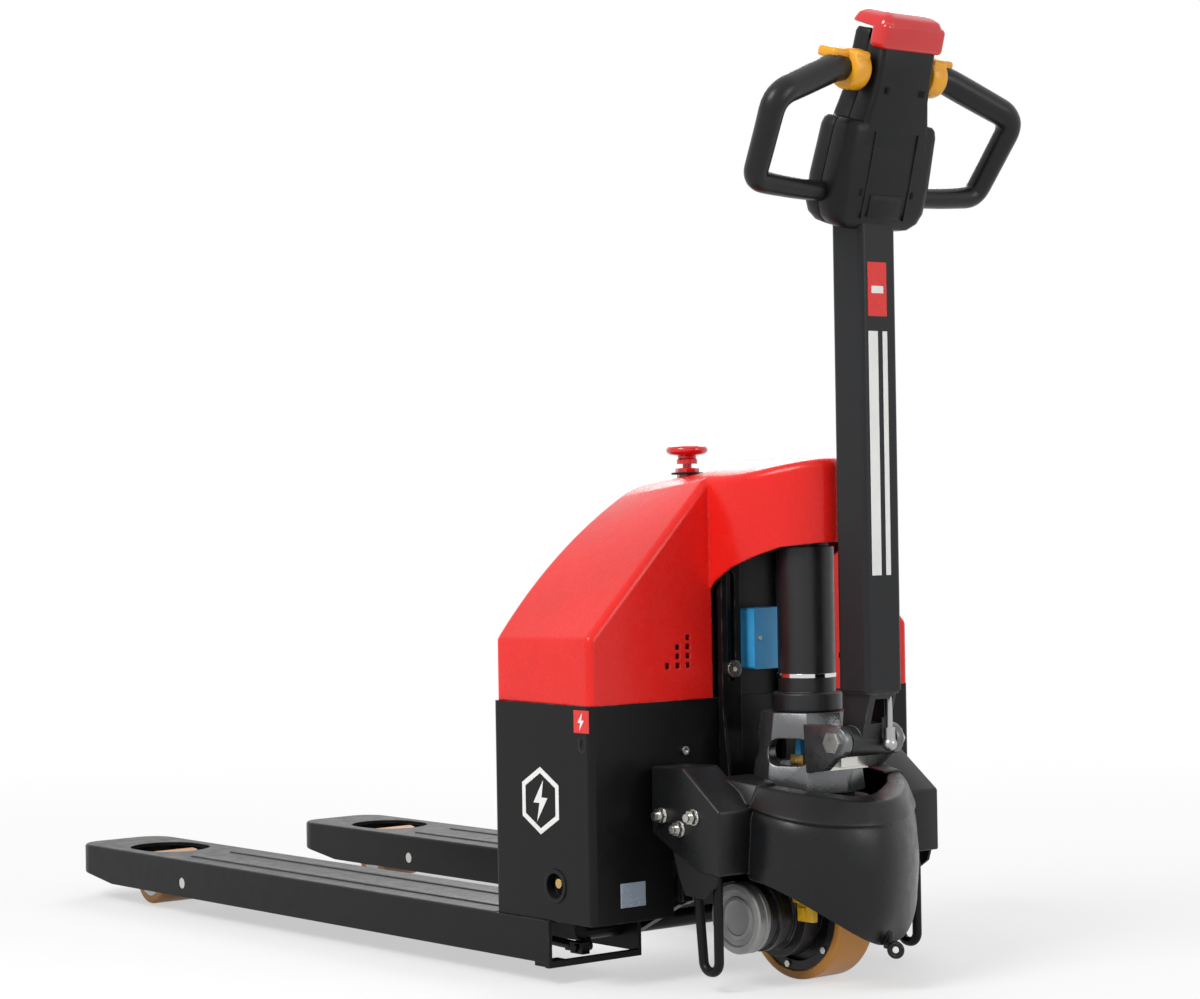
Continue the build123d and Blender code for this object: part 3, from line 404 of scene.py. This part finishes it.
FLASH = ((0.006, 0.026), (-0.014, -0.003), (-0.002, -0.003), (-0.007, -0.026), (0.014, 0.004), (0.002, 0.004))
FILM = 0.0005
white_film = finish("white_film", (0.82, 0.82, 0.80), (0.6, 0.6, 0.58), 0.32, grain=(1500, 0.00002),
                    wear=0.1, dust=0.03, edge=0.0002)
red_film = finish("red_film", (0.72, 0.02, 0.015), (0.6, 0.2, 0.18), 0.28, grain=(1500, 0.00002),
                  wear=0.1, dust=0.03, edge=0.0002)
sign_x, sign_z = face + 0.095, 0.229
flash = flat_shape(shifted(FLASH, sign_x, sign_z), FILM)
flash.location = (0, side_y, 0)
hexagon = ring_shape(6, 0.042, 0.0345, (sign_x, side_y, sign_z), FILM)
settle(merge([hexagon, flash]), "power_sign", "fork_frame", white_film)
key_plate = rounded_bar((face + 0.163, side_y - FILM, 0.317), (face + 0.192, side_y + 0.001, 0.345),
                        0.0004, 1)
settle(key_plate, "key_sign", "fork_frame", red_film)
key_flash = flat_shape(shifted(FLASH, face + 0.1775, 0.331, 0.42), 2 * FILM)
key_flash.location = (0, side_y, 0)
settle(key_flash, "key_sign_flash", "fork_frame", white_film)
plate_film = finish("data_plate_film", (0.42, 0.50, 0.60), (0.3, 0.3, 0.3), 0.25, metallic=0.4,
                    grain=(1200, 0.00002), wear=0.1, edge=0.0002)
data_plate = rounded_bar((end_x - 0.001, -0.232, 0.100), (end_x + FILM, -0.192, 0.130), 0.0004, 1)
settle(data_plate, "data_plate", "fork_frame", plate_film)

# ---- charging socket and key lock ----
# Black moulded cup let into the side of the box, with a turned brass contact pressed into it, and a
# slim key lock above it. The oil tank and the battery's case inside the box are of the same plastic.
black_moulding = finish("black_moulding", (0.006, 0.0062, 0.007), (0.04, 0.04, 0.04), 0.40, specular=0.17,
                        grain=(1300, 0.00018), wear=0.35, dust=0.05, edge=0.002)
brass = finish("turned_brass", (0.62, 0.42, 0.14), (0.8, 0.62, 0.3), 0.28, metallic=1.0, grain=(700, 0.00003),
               wear=0.5, edge=0.0005)
dress(black_moulding, "charge_socket", "key_lock", "oil_tank", "battery_pack")
dress(brass, "charge_contact", "valve_block")

# ---- hood ----
# One-piece shell, vacuum formed in red plastic with softly rounded ridges, an arched nose over the
# lift cylinder and square vent holes. It sits on the box and lifts off for the battery.
red_moulding = finish("red_moulding", (0.78, 0.014, 0.010), (0.82, 0.10, 0.08), 0.27, specular=0.26,
                      grain=(420, 0.00004), wear=0.35, dust=0.015, edge=0.004, coat=0.12)
dress(red_moulding, "hood")


# ---- stop button ----
# Red mushroom head on a turned stem, pressed down to cut the power. Its collar is screwed into the
# top of the hood and has a black ring under it.
def turned(profile, vertices=64):
    """Closed round piece about Z, from radii and heights."""
    clear_selection()
    radius, height = profile[0]
    bpy.ops.mesh.primitive_circle_add(vertices=vertices, radius=radius, fill_type="NGON",
                                      location=(0, 0, height))
    piece = bpy.context.object
    bpy.ops.object.transform_apply(location=True, rotation=True, scale=True)
    bpy.ops.object.mode_set(mode="EDIT")
    bpy.ops.mesh.select_mode(type="FACE")
    bpy.ops.mesh.select_all(action="SELECT")
    for next_radius, next_height in profile[1:]:
        bpy.ops.mesh.extrude_region_move(TRANSFORM_OT_translate={"value": (0, 0, next_height - height)})
        ratio = next_radius / radius
        bpy.ops.transform.resize(value=(ratio, ratio, 1), center_override=(0, 0, next_height))
        radius, height = next_radius, next_height
    bpy.ops.object.mode_set(mode="OBJECT")
    return piece


def moved(piece, place, turn=(0, 0, 0)):
    """Turns a piece and puts it in its place, in its mesh."""
    piece.rotation_euler = turn
    piece.location = place
    take(piece)
    bpy.ops.object.transform_apply(location=True, rotation=True, scale=True)
    return piece


knob_low, knob_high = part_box("stop_knob")
knob_x = (knob_low[0] + knob_high[0]) / 2
knob_top = knob_high[2]
mushroom = turned([(0.006, knob_top - 0.040), (0.006, knob_top - 0.0245), (0.0135, knob_top - 0.0245),
                   (0.0135, knob_top - 0.019), (0.0118, knob_top - 0.017), (0.0125, knob_top - 0.014),
                   (0.0215, knob_top - 0.0125), (0.0255, knob_top - 0.0105), (0.0273, knob_top - 0.0075),
                   (0.0270, knob_top - 0.0045), (0.0250, knob_top - 0.0022), (0.0200, knob_top - 0.0006),
                   (0.0120, knob_top), (0.0004, knob_top)])
red_gloss = finish("red_gloss", (0.62, 0.008, 0.010), (0.8, 0.2, 0.16), 0.16, specular=0.38,
                   grain=(300, 0.00003), wear=0.3, dust=0.03, edge=0.001, coat=0.5)
settle(moved(mushroom, (knob_x, 0, 0)), "stop_mushroom", "stop_button", red_gloss,
       ["stop_knob"], 40)
base_low, base_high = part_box("stop_knob_base")
collar = turned([(0.0135, base_low[2]), (0.0135, base_high[2] - 0.006), (0.0155, base_high[2] - 0.0055),
                 (0.0155, base_high[2] - 0.001), (0.0142, base_high[2]), (0.0068, base_high[2]),
                 (0.0066, base_high[2] - 0.018)], 8)
settle(moved(collar, (knob_x, 0, 0)), "stop_collar", "fork_frame", red_gloss,
       ["stop_knob_base"], 20)
ring = turned([(0.0205, base_high[2] - 0.0085), (0.0210, base_high[2] - 0.0080),
               (0.0210, base_high[2] - 0.0062), (0.0200, base_high[2] - 0.0056)], 48)
settle(moved(ring, (knob_x, 0, 0)), "stop_ring", "fork_frame", black_moulding)

# ---- screws, studs and bolts ----
# Zinc-plated steel fasteners: nuts with washers and long tails on the bumper ears, socket screws in
# the box, shouldered studs in the guide slots and the pins of the roller arms.
zinc_plate = finish("zinc_plate", (0.62, 0.61, 0.57), (0.75, 0.74, 0.72), 0.26, metallic=1.0,
                    grain=(800, 0.00003), wear=0.4, dust=0.05, edge=0.0006)
dress(zinc_plate, "ear_bolts", "guide_studs", "body_screws", "wheel_bolts", "tiller_pin", "arm_pins",
      "roller_axle_left", "roller_axle_right", "tiller_switch")

# ---- controller ----
# Light blue moulded housing of the motor controller, screwed to the mast plate under the hood's nose.
# The plug of the lowering valve in the pump base is moulded in the same blue.
blue_moulding = finish("blue_moulding", (0.05, 0.36, 0.72), (0.3, 0.5, 0.7), 0.34, grain=(900, 0.00008),
                       wear=0.3, edge=0.001)
dress(blue_moulding, "controller_box", "valve_plug")

# ---- chassis ----
# Deck plate, two slotted uprights, wing plates and link lugs welded from thick plate and coated black.
# The two skid loops are bent from 12 mm round bar, and rubber flaps hang above them. The roller arms,
# their rods and the drive head have the same coating.
dress(black_coat, "chassis_frame", "skid_loops", "rocker_shaft", "push_rod_left", "push_rod_right",
      "roller_arm_left", "roller_arm_right", "drive_head")
rubber = finish("black_rubber", (0.012, 0.012, 0.013), (0.05, 0.05, 0.05), 0.5, specular=0.2,
                grain=(600, 0.00012), wear=0.3, dust=0.12, edge=0.001)
dress(rubber, "skid_flaps")
bare_steel = finish("bare_steel", (0.42, 0.42, 0.42), (0.6, 0.6, 0.6), 0.35, metallic=1.0,
                    grain=(600, 0.00004), wear=0.4, edge=0.0005)
dress(bare_steel, "steering_bearing", "load_roller_core_left", "load_roller_core_right", "gas_spring")

# ---- rollers and drive wheel ----
# Amber polyurethane cast on steel cores. The drive wheel's centre is a black casting with a ring of
# screws, and the gearbox, the tiller's yoke and the lift cylinder share its dark finish.
amber_tread = finish("amber_polyurethane", (0.56, 0.235, 0.030), (0.20, 0.12, 0.05), 0.38, specular=0.5,
                     grain=(260, 0.00015), wear=0.5, dust=0.25, edge=0.003)
dress(amber_tread, "wheel_tread", "load_roller_tread_left", "load_roller_tread_right")
dark_casting = finish("dark_casting", (0.016, 0.0165, 0.018), (0.2, 0.2, 0.2), 0.36, metallic=0.35,
                      grain=(450, 0.00025), wear=0.6, dust=0.08, edge=0.002)
dress(dark_casting, "wheel_hub", "gearbox", "tiller_yoke", "lift_cylinder")

# ---- drive motor and its brake ----
# Cast aluminium motor with the round brake housing on its end, turned in steps, and a yellow bracket
# that holds it to the drive head.
cast_grey = finish("cast_aluminium", (0.30, 0.305, 0.30), (0.55, 0.55, 0.55), 0.40, metallic=0.55,
                   grain=(380, 0.0002), wear=0.5, dust=0.15, edge=0.0015)
dress(cast_grey, "pump_motor")
dress(dark_casting, "drive_motor")
yellow_paint = finish("yellow_paint", (0.80, 0.46, 0.010), (0.4, 0.35, 0.25), 0.32, grain=(500, 0.0001),
                      wear=0.5, edge=0.001)
dress(yellow_paint, "motor_bracket")
# The foot of the bracket shows below the bumper: a block, its upright tab and a screw head.
bracket = [rounded_bar((face + 0.336, -0.0690, 0.082), (face + 0.364, -0.0600, 0.112), 0.0015, 2),
           rounded_bar((face + 0.329, -0.0700, 0.104), (face + 0.343, -0.0610, 0.126), 0.0015, 2),
           rounded_bar((face + 0.340, -0.0720, 0.088), (face + 0.352, -0.0685, 0.100), 0.0012, 2)]
settle(merge(bracket), "bracket_foot", "drive_unit", yellow_paint)
brake_low, brake_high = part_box("motor_brake")
wheel_x = (brake_low[0] + brake_high[0]) / 2
wheel_z = (brake_low[2] + brake_high[2]) / 2
depth = brake_high[1] - brake_low[1]
brake = turned([(0.0400, 0.0), (0.0400, 0.003), (0.0440, 0.0045), (0.0440, depth * 0.42),
                (0.0425, depth * 0.45), (0.0425, depth * 0.52), (0.0440, depth * 0.55),
                (0.0440, depth * 0.88), (0.0425, depth * 0.97), (0.0350, depth), (0.0338, depth - 0.0035),
                (0.0270, depth - 0.0042), (0.0262, depth - 0.0025),
                (0.0215, depth - 0.0022), (0.0205, depth - 0.0040), (0.0150, depth - 0.0046),
                (0.0030, depth - 0.0046)], 72)
settle(moved(brake, (wheel_x, brake_high[1], wheel_z), (math.pi / 2, 0, 0)), "brake_housing", "drive_unit",
       cast_grey, ["motor_brake"], 25)


# ---- pump base ----
# Eight-sided aluminium casting under the lift cylinder, machined on its faces, with slotted windows on
# the lowering valve. Two lugs on its front hold the tiller's pivot pin.
def modify(piece, kind, **values):
    """Adds a modifier and applies it."""
    take(piece)
    modifier = piece.modifiers.new(kind.lower(), kind)
    for name, value in values.items():
        setattr(modifier, name, value)
    bpy.ops.object.modifier_apply(modifier=modifier.name)
    return piece


bright_casting = finish("bright_casting", (0.16, 0.163, 0.168), (0.4, 0.4, 0.4), 0.28, metallic=0.8,
                        grain=(450, 0.0002), wear=0.6, dust=0.05, edge=0.002)
steer_x = face + 0.288
clear_selection()
bpy.ops.mesh.primitive_cone_add(vertices=8, radius1=0.0710, radius2=0.0582, depth=0.098,
                                location=(steer_x, 0, 0.285))
housing = bpy.context.object
bpy.ops.object.transform_apply(location=True, rotation=True, scale=True)
bpy.ops.mesh.primitive_cylinder_add(vertices=64, radius=0.045, depth=0.076, location=(steer_x, 0, 0.284))
cutters = [bpy.context.object]
bpy.ops.object.transform_apply(location=True, rotation=True, scale=True)
for angle in (-67.5, 67.5, 157.5, 202.5):
    window = rounded_bar((0.024, -0.030, 0.269), (0.100, 0.030, 0.303), 0.0165, 8)
    cutters.append(moved(window, (steer_x, 0, 0), (0, 0, math.radians(angle))))
for cutter in cutters:
    modify(housing, "BOOLEAN", object=cutter, operation="DIFFERENCE", solver="EXACT")
    bpy.data.objects.remove(cutter)
modify(housing, "BEVEL", width=0.0012, segments=2, limit_method="ANGLE", angle_limit=math.radians(35))
lugs = [housing]
pivot_x, pivot_z = face + 0.388, 0.302
lug_radius, lug_wall = 0.020, 0.012
nose = [(pivot_x + lug_radius * math.sin(t * math.pi / 8), pivot_z - lug_radius * math.cos(t * math.pi / 8))
        for t in range(9)]
for outer_y in (-0.038, 0.050):
    foot = [(steer_x + 0.048, 0.262), (pivot_x - lug_radius, 0.266)]
    lug = flat_shape(foot + nose + [(steer_x + 0.044, 0.322)], lug_wall)
    moved(lug, (0, outer_y, 0))
    modify(lug, "BEVEL", width=0.0015, segments=2, limit_method="ANGLE")
    lugs.append(lug)
settle(merge(lugs), "pump_housing", "drive_unit", bright_casting, ["pump_base"], 30)
chrome = finish("hard_chrome", (0.72, 0.72, 0.73), (0.8, 0.8, 0.8), 0.10, metallic=1.0, grain=(900, 0.00001),
                wear=0.1, edge=0.0005)
dress(chrome, "piston_rod")
tube_low, tube_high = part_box("lift_cylinder")
tube_x = (tube_low[0] + tube_high[0]) / 2
clamp = turned([(0.0362, 0.0), (0.0372, 0.0006), (0.0372, 0.0055), (0.0362, 0.006)], 64)
settle(moved(clamp, (tube_x, 0, tube_low[2] + 0.042)), "cylinder_band", "drive_unit", chrome)

# ---- drive bumper ----
# Tough black plastic moulding bolted to the wing plates by an ear each side. A bowl hangs round the
# drive wheel, fuller on the motor's side, under a bevelled crown with an opening for the tiller.
PLAN = ((0.326, -0.137), (0.354, -0.140), (0.384, -0.135), (0.408, -0.121), (0.428, -0.100), (0.442, -0.073),
        (0.449, -0.048), (0.450, -0.026), (0.445, -0.002), (0.434, 0.025), (0.416, 0.055), (0.392, 0.084),
        (0.364, 0.110), (0.326, 0.134))
CROWN = ((0.326, -0.124), (0.350, -0.116), (0.374, -0.103), (0.394, -0.089), (0.411, -0.072), (0.425, -0.058),
         (0.434, -0.045), (0.437, -0.028), (0.434, -0.002), (0.425, 0.022), (0.409, 0.048), (0.387, 0.075),
         (0.361, 0.100), (0.326, 0.124))
LOWER = (0.138, 0.138, 0.128, 0.113, 0.095, 0.075, 0.063, 0.057, 0.055, 0.060, 0.078, 0.100, 0.120, 0.138)
EYE = Vector((0.345, -0.006))
RIM_HEIGHT, RIM_FALL = 0.2775, 0.17


def ring_point(plan, index, inset):
    """Point of an outline drawn in towards the middle of the bumper, set out a little for the smoothing."""
    point = Vector(plan[index])
    if 0 < index < len(plan) - 1:
        point += (2 * point - Vector(plan[index - 1]) - Vector(plan[index + 1])) / 6
    reach = point - EYE
    return EYE + reach * (1 - inset / reach.length)


def bowl_inset(y, z):
    """How far the bowl is drawn in at a height, less on the side that the motor swings to."""
    share = 0.35 if y > 0.010 else 1.0
    tuck = 0.036 * share * max(0.0, (0.108 - z) / 0.070) ** 2
    swell = 0.004 * math.exp(-((z - 0.150) / 0.030) ** 2)
    return tuck - swell


rows = []
columns = len(PLAN)
steps = 8
for step in range(steps + 1):
    row = []
    for index, ((rim_x, rim_y), low) in enumerate(zip(PLAN, LOWER)):
        high = RIM_HEIGHT - RIM_FALL * rim_x
        z = low + (high - low) * (step / steps)
        x, y = ring_point(PLAN, index, bowl_inset(rim_y, z) + (0.0035 if step == steps else 0.0))
        row.append((x, y, z))
    rows.append(row)
for plan, inset, base in ((PLAN, 0.0050, 0.2786), (PLAN, 0.0048, 0.2798), (PLAN, 0.0008, 0.2806),
                          (PLAN, 0.0, 0.2816), (PLAN, 0.0006, 0.2838), (CROWN, -0.0012, 0.3038),
                          (CROWN, 0.0012, 0.3060), (CROWN, 0.0050, 0.3066), (CROWN, 0.0300, 0.3060)):
    row = []
    for index in range(columns):
        x, y = ring_point(plan, index, inset)
        row.append((x, y, base - RIM_FALL * x))
    rows.append(row)
vertices = [(face + x, y, z) for row in rows for x, y, z in row]
walls = [(r * columns + c, r * columns + c + 1, (r + 1) * columns + c + 1, (r + 1) * columns + c)
         for r in range(len(rows) - 1) for c in range(columns - 1)]
bowl = laid_out(vertices, walls)
modify(bowl, "SUBSURF", levels=2, render_levels=2)
modify(bowl, "SOLIDIFY", thickness=0.003, offset=-1)
EAR = ((0.205, 0.272), (0.264, 0.274), (0.330, 0.224), (0.330, 0.146), (0.290, 0.150), (0.240, 0.172),
       (0.205, 0.190))
ear_width = 0.059
ears = []
for outer_y in (-0.130, 0.189):
    ear = flat_shape([(face + x, z) for x, z in EAR], ear_width)
    moved(ear, (0, outer_y, 0))
    modify(ear, "BEVEL", width=0.003, segments=3, limit_method="ANGLE")
    ears.append(ear)
# A small towing ring hangs from a lug at the lowest point of the bowl.
clear_selection()
bpy.ops.mesh.primitive_torus_add(major_radius=0.0075, minor_radius=0.0035, major_segments=32,
                                 minor_segments=10, location=(face + 0.4465, -0.010, 0.052),
                                 rotation=(math.pi / 2, 0, 0.5))
hook_ring = bpy.context.object
hook_lug = rounded_bar((face + 0.428, -0.0135, 0.052), (face + 0.4405, -0.0065, 0.074), 0.002, 2)
# The rear ends of the crown are bevelled strips that run in under the ears.
crown_sides = []
for side in (-1, 1):
    back = [(0.281, side * 0.139, 0.2330), (0.281, side * 0.1385, 0.2560), (0.281, side * 0.128, 0.2590),
            (0.281, side * 0.090, 0.2590)]
    front = [(0.328, side * 0.137, 0.2280), (0.328, side * 0.124, 0.2500), (0.328, side * 0.118, 0.2515),
             (0.328, side * 0.094, 0.2510)]
    strip = laid_out([(face + x, y, z) for x, y, z in back + front],
                     [(i, i + 1, i + 5, i + 4) for i in range(3)])
    modify(strip, "SOLIDIFY", thickness=0.004, offset=0)
    modify(strip, "BEVEL", width=0.0012, segments=2)
    crown_sides.append(strip)
bumper_black = finish("bumper_black", (0.0075, 0.0078, 0.0085), (0.05, 0.05, 0.05), 0.30, specular=0.26,
                      grain=(1100, 0.00016), wear=0.4, dust=0.04, edge=0.0025)
settle(merge([bowl] + crown_sides + ears + [hook_ring, hook_lug]), "bumper_moulding", "chassis",
       bumper_black, ["drive_bumper"], 40)

# ---- tiller tube ----
# Rectangular steel tube on the pivot yoke, coated dark grey. Its front carries a red badge and two
# plain white stripes of printed film.
tube_coat = finish("tube_powder_coat", (0.015, 0.0155, 0.017), (0.14, 0.14, 0.14), 0.36, specular=0.2,
                   grain=(900, 0.00012), wear=0.5, dust=0.05, edge=0.002)
dress(tube_coat, "tiller_tube")
tube_low, tube_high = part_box("tiller_tube")
front_x = tube_high[0]
badge = rounded_bar((front_x - 0.001, -0.020, 0.820), (front_x + FILM, 0.012, 0.886), 0.0004, 1)
settle(badge, "tiller_badge", "tiller", red_film)
stripes = [rounded_bar((front_x - 0.001, y0, 0.505), (front_x + FILM, y1, 0.802), 0.0004, 1)
           for y0, y1 in ((-0.020, -0.004), (0.004, 0.012))]
stripes.append(rounded_bar((front_x - 0.001, -0.014, 0.848), (front_x + 2 * FILM, 0.006, 0.857), 0.0004, 1))
settle(merge(stripes), "tiller_stripes", "tiller", white_film)

# ---- control head ----
# Two glass-filled nylon shells, screwed together round the grips on the tilted end of the tube. The
# lower body is wide with softened flanks, and the neck tapers up to the cap.
HEAD_PLACE = Matrix.Translation((face + 0.40855, 0, 0.973)) @ Matrix.Rotation(math.radians(16.5), 4, "Y")


def stacked(sections, corner, rounds=5):
    """Closed piece from rounded oblongs one above another, given as height, half depth, half width, shift."""
    clear_selection()
    height, depth, width, shift = sections[0]
    bpy.ops.mesh.primitive_plane_add(size=2, location=(shift, 0, height))
    piece = bpy.context.object
    piece.scale = (depth, width, 1)
    bpy.ops.object.transform_apply(location=True, rotation=True, scale=True)
    bpy.ops.object.mode_set(mode="EDIT")
    bpy.ops.mesh.select_all(action="SELECT")
    bpy.ops.mesh.bevel(offset=corner, segments=rounds, affect="VERTICES")
    bpy.ops.mesh.select_mode(type="FACE")
    bpy.ops.mesh.select_all(action="SELECT")
    for next_height, next_depth, next_width, next_shift in sections[1:]:
        move = (next_shift - shift, 0, next_height - height)
        bpy.ops.mesh.extrude_region_move(TRANSFORM_OT_translate={"value": move})
        bpy.ops.transform.resize(value=(next_depth / depth, next_width / width, 1),
                                 center_override=(next_shift, 0, next_height))
        height, depth, width, shift = next_height, next_depth, next_width, next_shift
    bpy.ops.object.mode_set(mode="OBJECT")
    return piece


def in_head(piece):
    """Carries a piece from the head's own axes to its place on the tiller."""
    piece.data.transform(HEAD_PLACE)
    return piece


def halved(piece, keep_front):
    """Half of a casing in front of or behind the parting line, closed again at the cut."""
    take(piece)
    bpy.ops.object.mode_set(mode="EDIT")
    bpy.ops.mesh.select_all(action="SELECT")
    bpy.ops.mesh.bisect(plane_co=(0.0004 if keep_front else -0.0004, 0, 0), plane_no=(1, 0, 0), use_fill=True,
                        clear_inner=keep_front, clear_outer=not keep_front)
    bpy.ops.object.mode_set(mode="OBJECT")
    return piece


head_black = finish("head_black", (0.0065, 0.0068, 0.0075), (0.05, 0.05, 0.05), 0.34, specular=0.20,
                    grain=(1200, 0.00020), wear=0.4, dust=0.04, edge=0.002)
for keep_front, name, node, top in ((True, "head_front", "head_shell_lower", 0.187),
                                    (False, "head_back", "head_shell_upper", 0.1965)):
    body = stacked([(-0.043, 0.020, 0.050, 0), (-0.040, 0.026, 0.062, 0), (-0.031, 0.031, 0.073, 0),
                    (-0.018, 0.0330, 0.0790, 0), (0.015, 0.0335, 0.0800, 0), (0.076, 0.0325, 0.0765, 0),
                    (0.084, 0.0310, 0.0745, 0), (0.088, 0.0280, 0.0710, 0), (0.0890, 0.0230, 0.0640, 0)],
                   0.011)
    neck = stacked([(0.060, 0.0325, 0.0600, 0), (0.092, 0.0322, 0.0540, 0), (0.118, 0.0312, 0.0475, 0),
                    (0.150, 0.0305, 0.0455, 0), (top - 0.006, 0.0290, 0.0455, 0),
                    (top, 0.0270, 0.0440, 0)], 0.010)
    halves = [halved(part, keep_front) for part in (body, neck)]
    shell = merge(halves)
    modify(shell, "BEVEL", width=0.0012, segments=2, limit_method="ANGLE", angle_limit=math.radians(40))
    settle(in_head(shell), name, "tiller", head_black, [node], 32)

# The front shell has two upright moulded seams and a raised service panel with a ridge across it.
# Its four screw slots are near-black patches, painted shade for their recesses.
trim = []
for side in (-1, 1):
    trim.append(rounded_bar((0.0315, side * 0.036 - 0.0009, -0.028), (0.0346, side * 0.036 + 0.0009, 0.078),
                            0.0006, 2))
trim.append(rounded_bar((0.0310, -0.027, -0.026), (0.0348, 0.027, 0.002), 0.0012, 3))
trim.append(rounded_bar((0.0340, -0.022, -0.0040), (0.0354, 0.022, -0.0022), 0.0005, 2))
settle(in_head(merge(trim)), "head_trim", "tiller", head_black)
# Near-black patches on the shell: painted shade for the recessed screw slots, which are the shell's own
# black.
painted_slot_shade = finish("painted_slot_shade", (0.002, 0.002, 0.002), (0.01, 0.01, 0.01), 0.7, specular=0.2, wear=0.0,
                  dust=0.0)
slots = [rounded_bar((0.0330, y - 0.0022, z - 0.0042), (0.0342, y + 0.0022, z + 0.0042), 0.0005, 2)
         for y, z in ((-0.0435, 0.004), (0.0435, 0.004), (-0.030, 0.128), (0.030, 0.128))]
settle(in_head(merge(slots)), "head_slots", "tiller", painted_slot_shade)
dress(head_black, "lower_button", "horn_button")
green_moulding = finish("green_moulding", (0.03, 0.35, 0.08), (0.2, 0.4, 0.25), 0.35, grain=(900, 0.00008),
                        wear=0.3, edge=0.001)
dress(green_moulding, "lift_button")

# ---- safety cap ----
# Red cap on the end of the head that reverses the truck when it is pushed. It is moulded in one with
# a deep front edge and is thin at the back.
cap = stacked([(0.172, 0.0325, 0.0515, 0), (0.196, 0.0330, 0.0520, 0), (0.206, 0.0318, 0.0508, 0),
               (0.214, 0.0285, 0.0470, -0.001), (0.2185, 0.0215, 0.0390, -0.003),
               (0.2198, 0.0120, 0.0280, -0.005)], 0.012)
bpy.ops.object.mode_set(mode="EDIT")
bpy.ops.mesh.select_all(action="SELECT")
bpy.ops.mesh.bisect(plane_co=(0, 0, 0.2005), plane_no=(0.06, 0, 1), use_fill=True, clear_inner=True)
bpy.ops.object.mode_set(mode="OBJECT")
modify(cap, "BEVEL", width=0.0022, segments=3, limit_method="ANGLE", angle_limit=math.radians(35))
skirt = rounded_bar((0.006, -0.0515, 0.1760), (0.0333, 0.0515, 0.2080), 0.0065, 5)
settle(in_head(merge([cap, skirt])), "safety_cap", "reverse_switch", red_gloss,
       ["reverse_cap"], 40)

# ---- throttle wings ----
# Amber thumb wings that turn together about the inner ends of the grips. Each is moulded as a sleeve
# with a cheek on top and a flat paddle that reaches out over the grip.
amber_moulding = finish("amber_moulding", (0.82, 0.36, 0.006), (0.85, 0.5, 0.2), 0.30, specular=0.5,
                        grain=(900, 0.0001), wear=0.3, dust=0.03, edge=0.0015)
wings = []
for side in (-1, 1):
    sleeve = turned([(0.0195, 0.0), (0.0235, 0.0012), (0.0250, 0.004), (0.0250, 0.021), (0.0238, 0.0245),
                     (0.0205, 0.0258)], 48)
    turn = (math.pi / 2, 0, 0) if side < 0 else (-math.pi / 2, 0, 0)
    moved(sleeve, (0, side * 0.0522, 0.146), turn)
    y0, y1 = sorted((side * 0.053, side * 0.102))
    paddle = rounded_bar((-0.026, y0, 0.1560), (0.006, y1, 0.1690), 0.0045, 4)
    cheek0, cheek1 = sorted((side * 0.0535, side * 0.077))
    cheek = rounded_bar((-0.022, cheek0, 0.147), (0.020, cheek1, 0.1700), 0.005, 4)
    wings += [sleeve, paddle, cheek]
settle(in_head(merge(wings)), "thumb_wings", "throttle", amber_moulding,
       ["throttle_wings"], 40)

# ---- handle loops ----
# Bent steel tube dipped in black rubber, thick where the hands hold it and slimmer on the way back
# to the head. Both ends go into the shells.
rubber_grip = finish("grip_rubber", (0.0095, 0.0095, 0.010), (0.05, 0.05, 0.05), 0.30, specular=0.26,
                     grain=(700, 0.00010), wear=0.25, dust=0.04, edge=0.001)
LOOP = ((0.000, 0.045, 0.146, 0.0140), (0.000, 0.070, 0.146, 0.0140), (0.000, 0.084, 0.146, 0.0160),
        (0.001, 0.096, 0.1450, 0.0172), (0.006, 0.120, 0.1370, 0.0176), (0.018, 0.170, 0.1200, 0.0172),
        (0.0235, 0.190, 0.1135, 0.0165), (0.0240, 0.2020, 0.0990, 0.0158), (0.0180, 0.1985, 0.0750, 0.0152),
        (0.0060, 0.1920, 0.0300, 0.0150), (0.0010, 0.1895, 0.0120, 0.0148), (0.0000, 0.1800, 0.0035, 0.0142),
        (0.0000, 0.1600, 0.0010, 0.0132), (0.0000, 0.1150, -0.0025, 0.0126),
        (0.0000, 0.0750, -0.0030, 0.0126))
loops = []
for side in (-1, 1):
    curve = bpy.data.curves.new("loop_path", "CURVE")
    curve.dimensions = "3D"
    curve.resolution_u = 6
    curve.bevel_depth = 1.0
    curve.bevel_resolution = 8
    curve.use_fill_caps = True
    spline = curve.splines.new("NURBS")
    spline.points.add(len(LOOP) - 1)
    for point, (x, y, z, radius) in zip(spline.points, LOOP):
        point.co = (x, side * y, z, 1)
        point.radius = radius
    spline.order_u = 3
    spline.use_endpoint_u = True
    loop = bpy.data.objects.new("loop_path", curve)
    bpy.context.collection.objects.link(loop)
    take(loop)
    bpy.ops.object.convert(target="MESH")
    loops.append(bpy.context.object)
settle(in_head(merge(loops)), "rubber_loops", "tiller", rubber_grip, ["handle_loops"], 50)
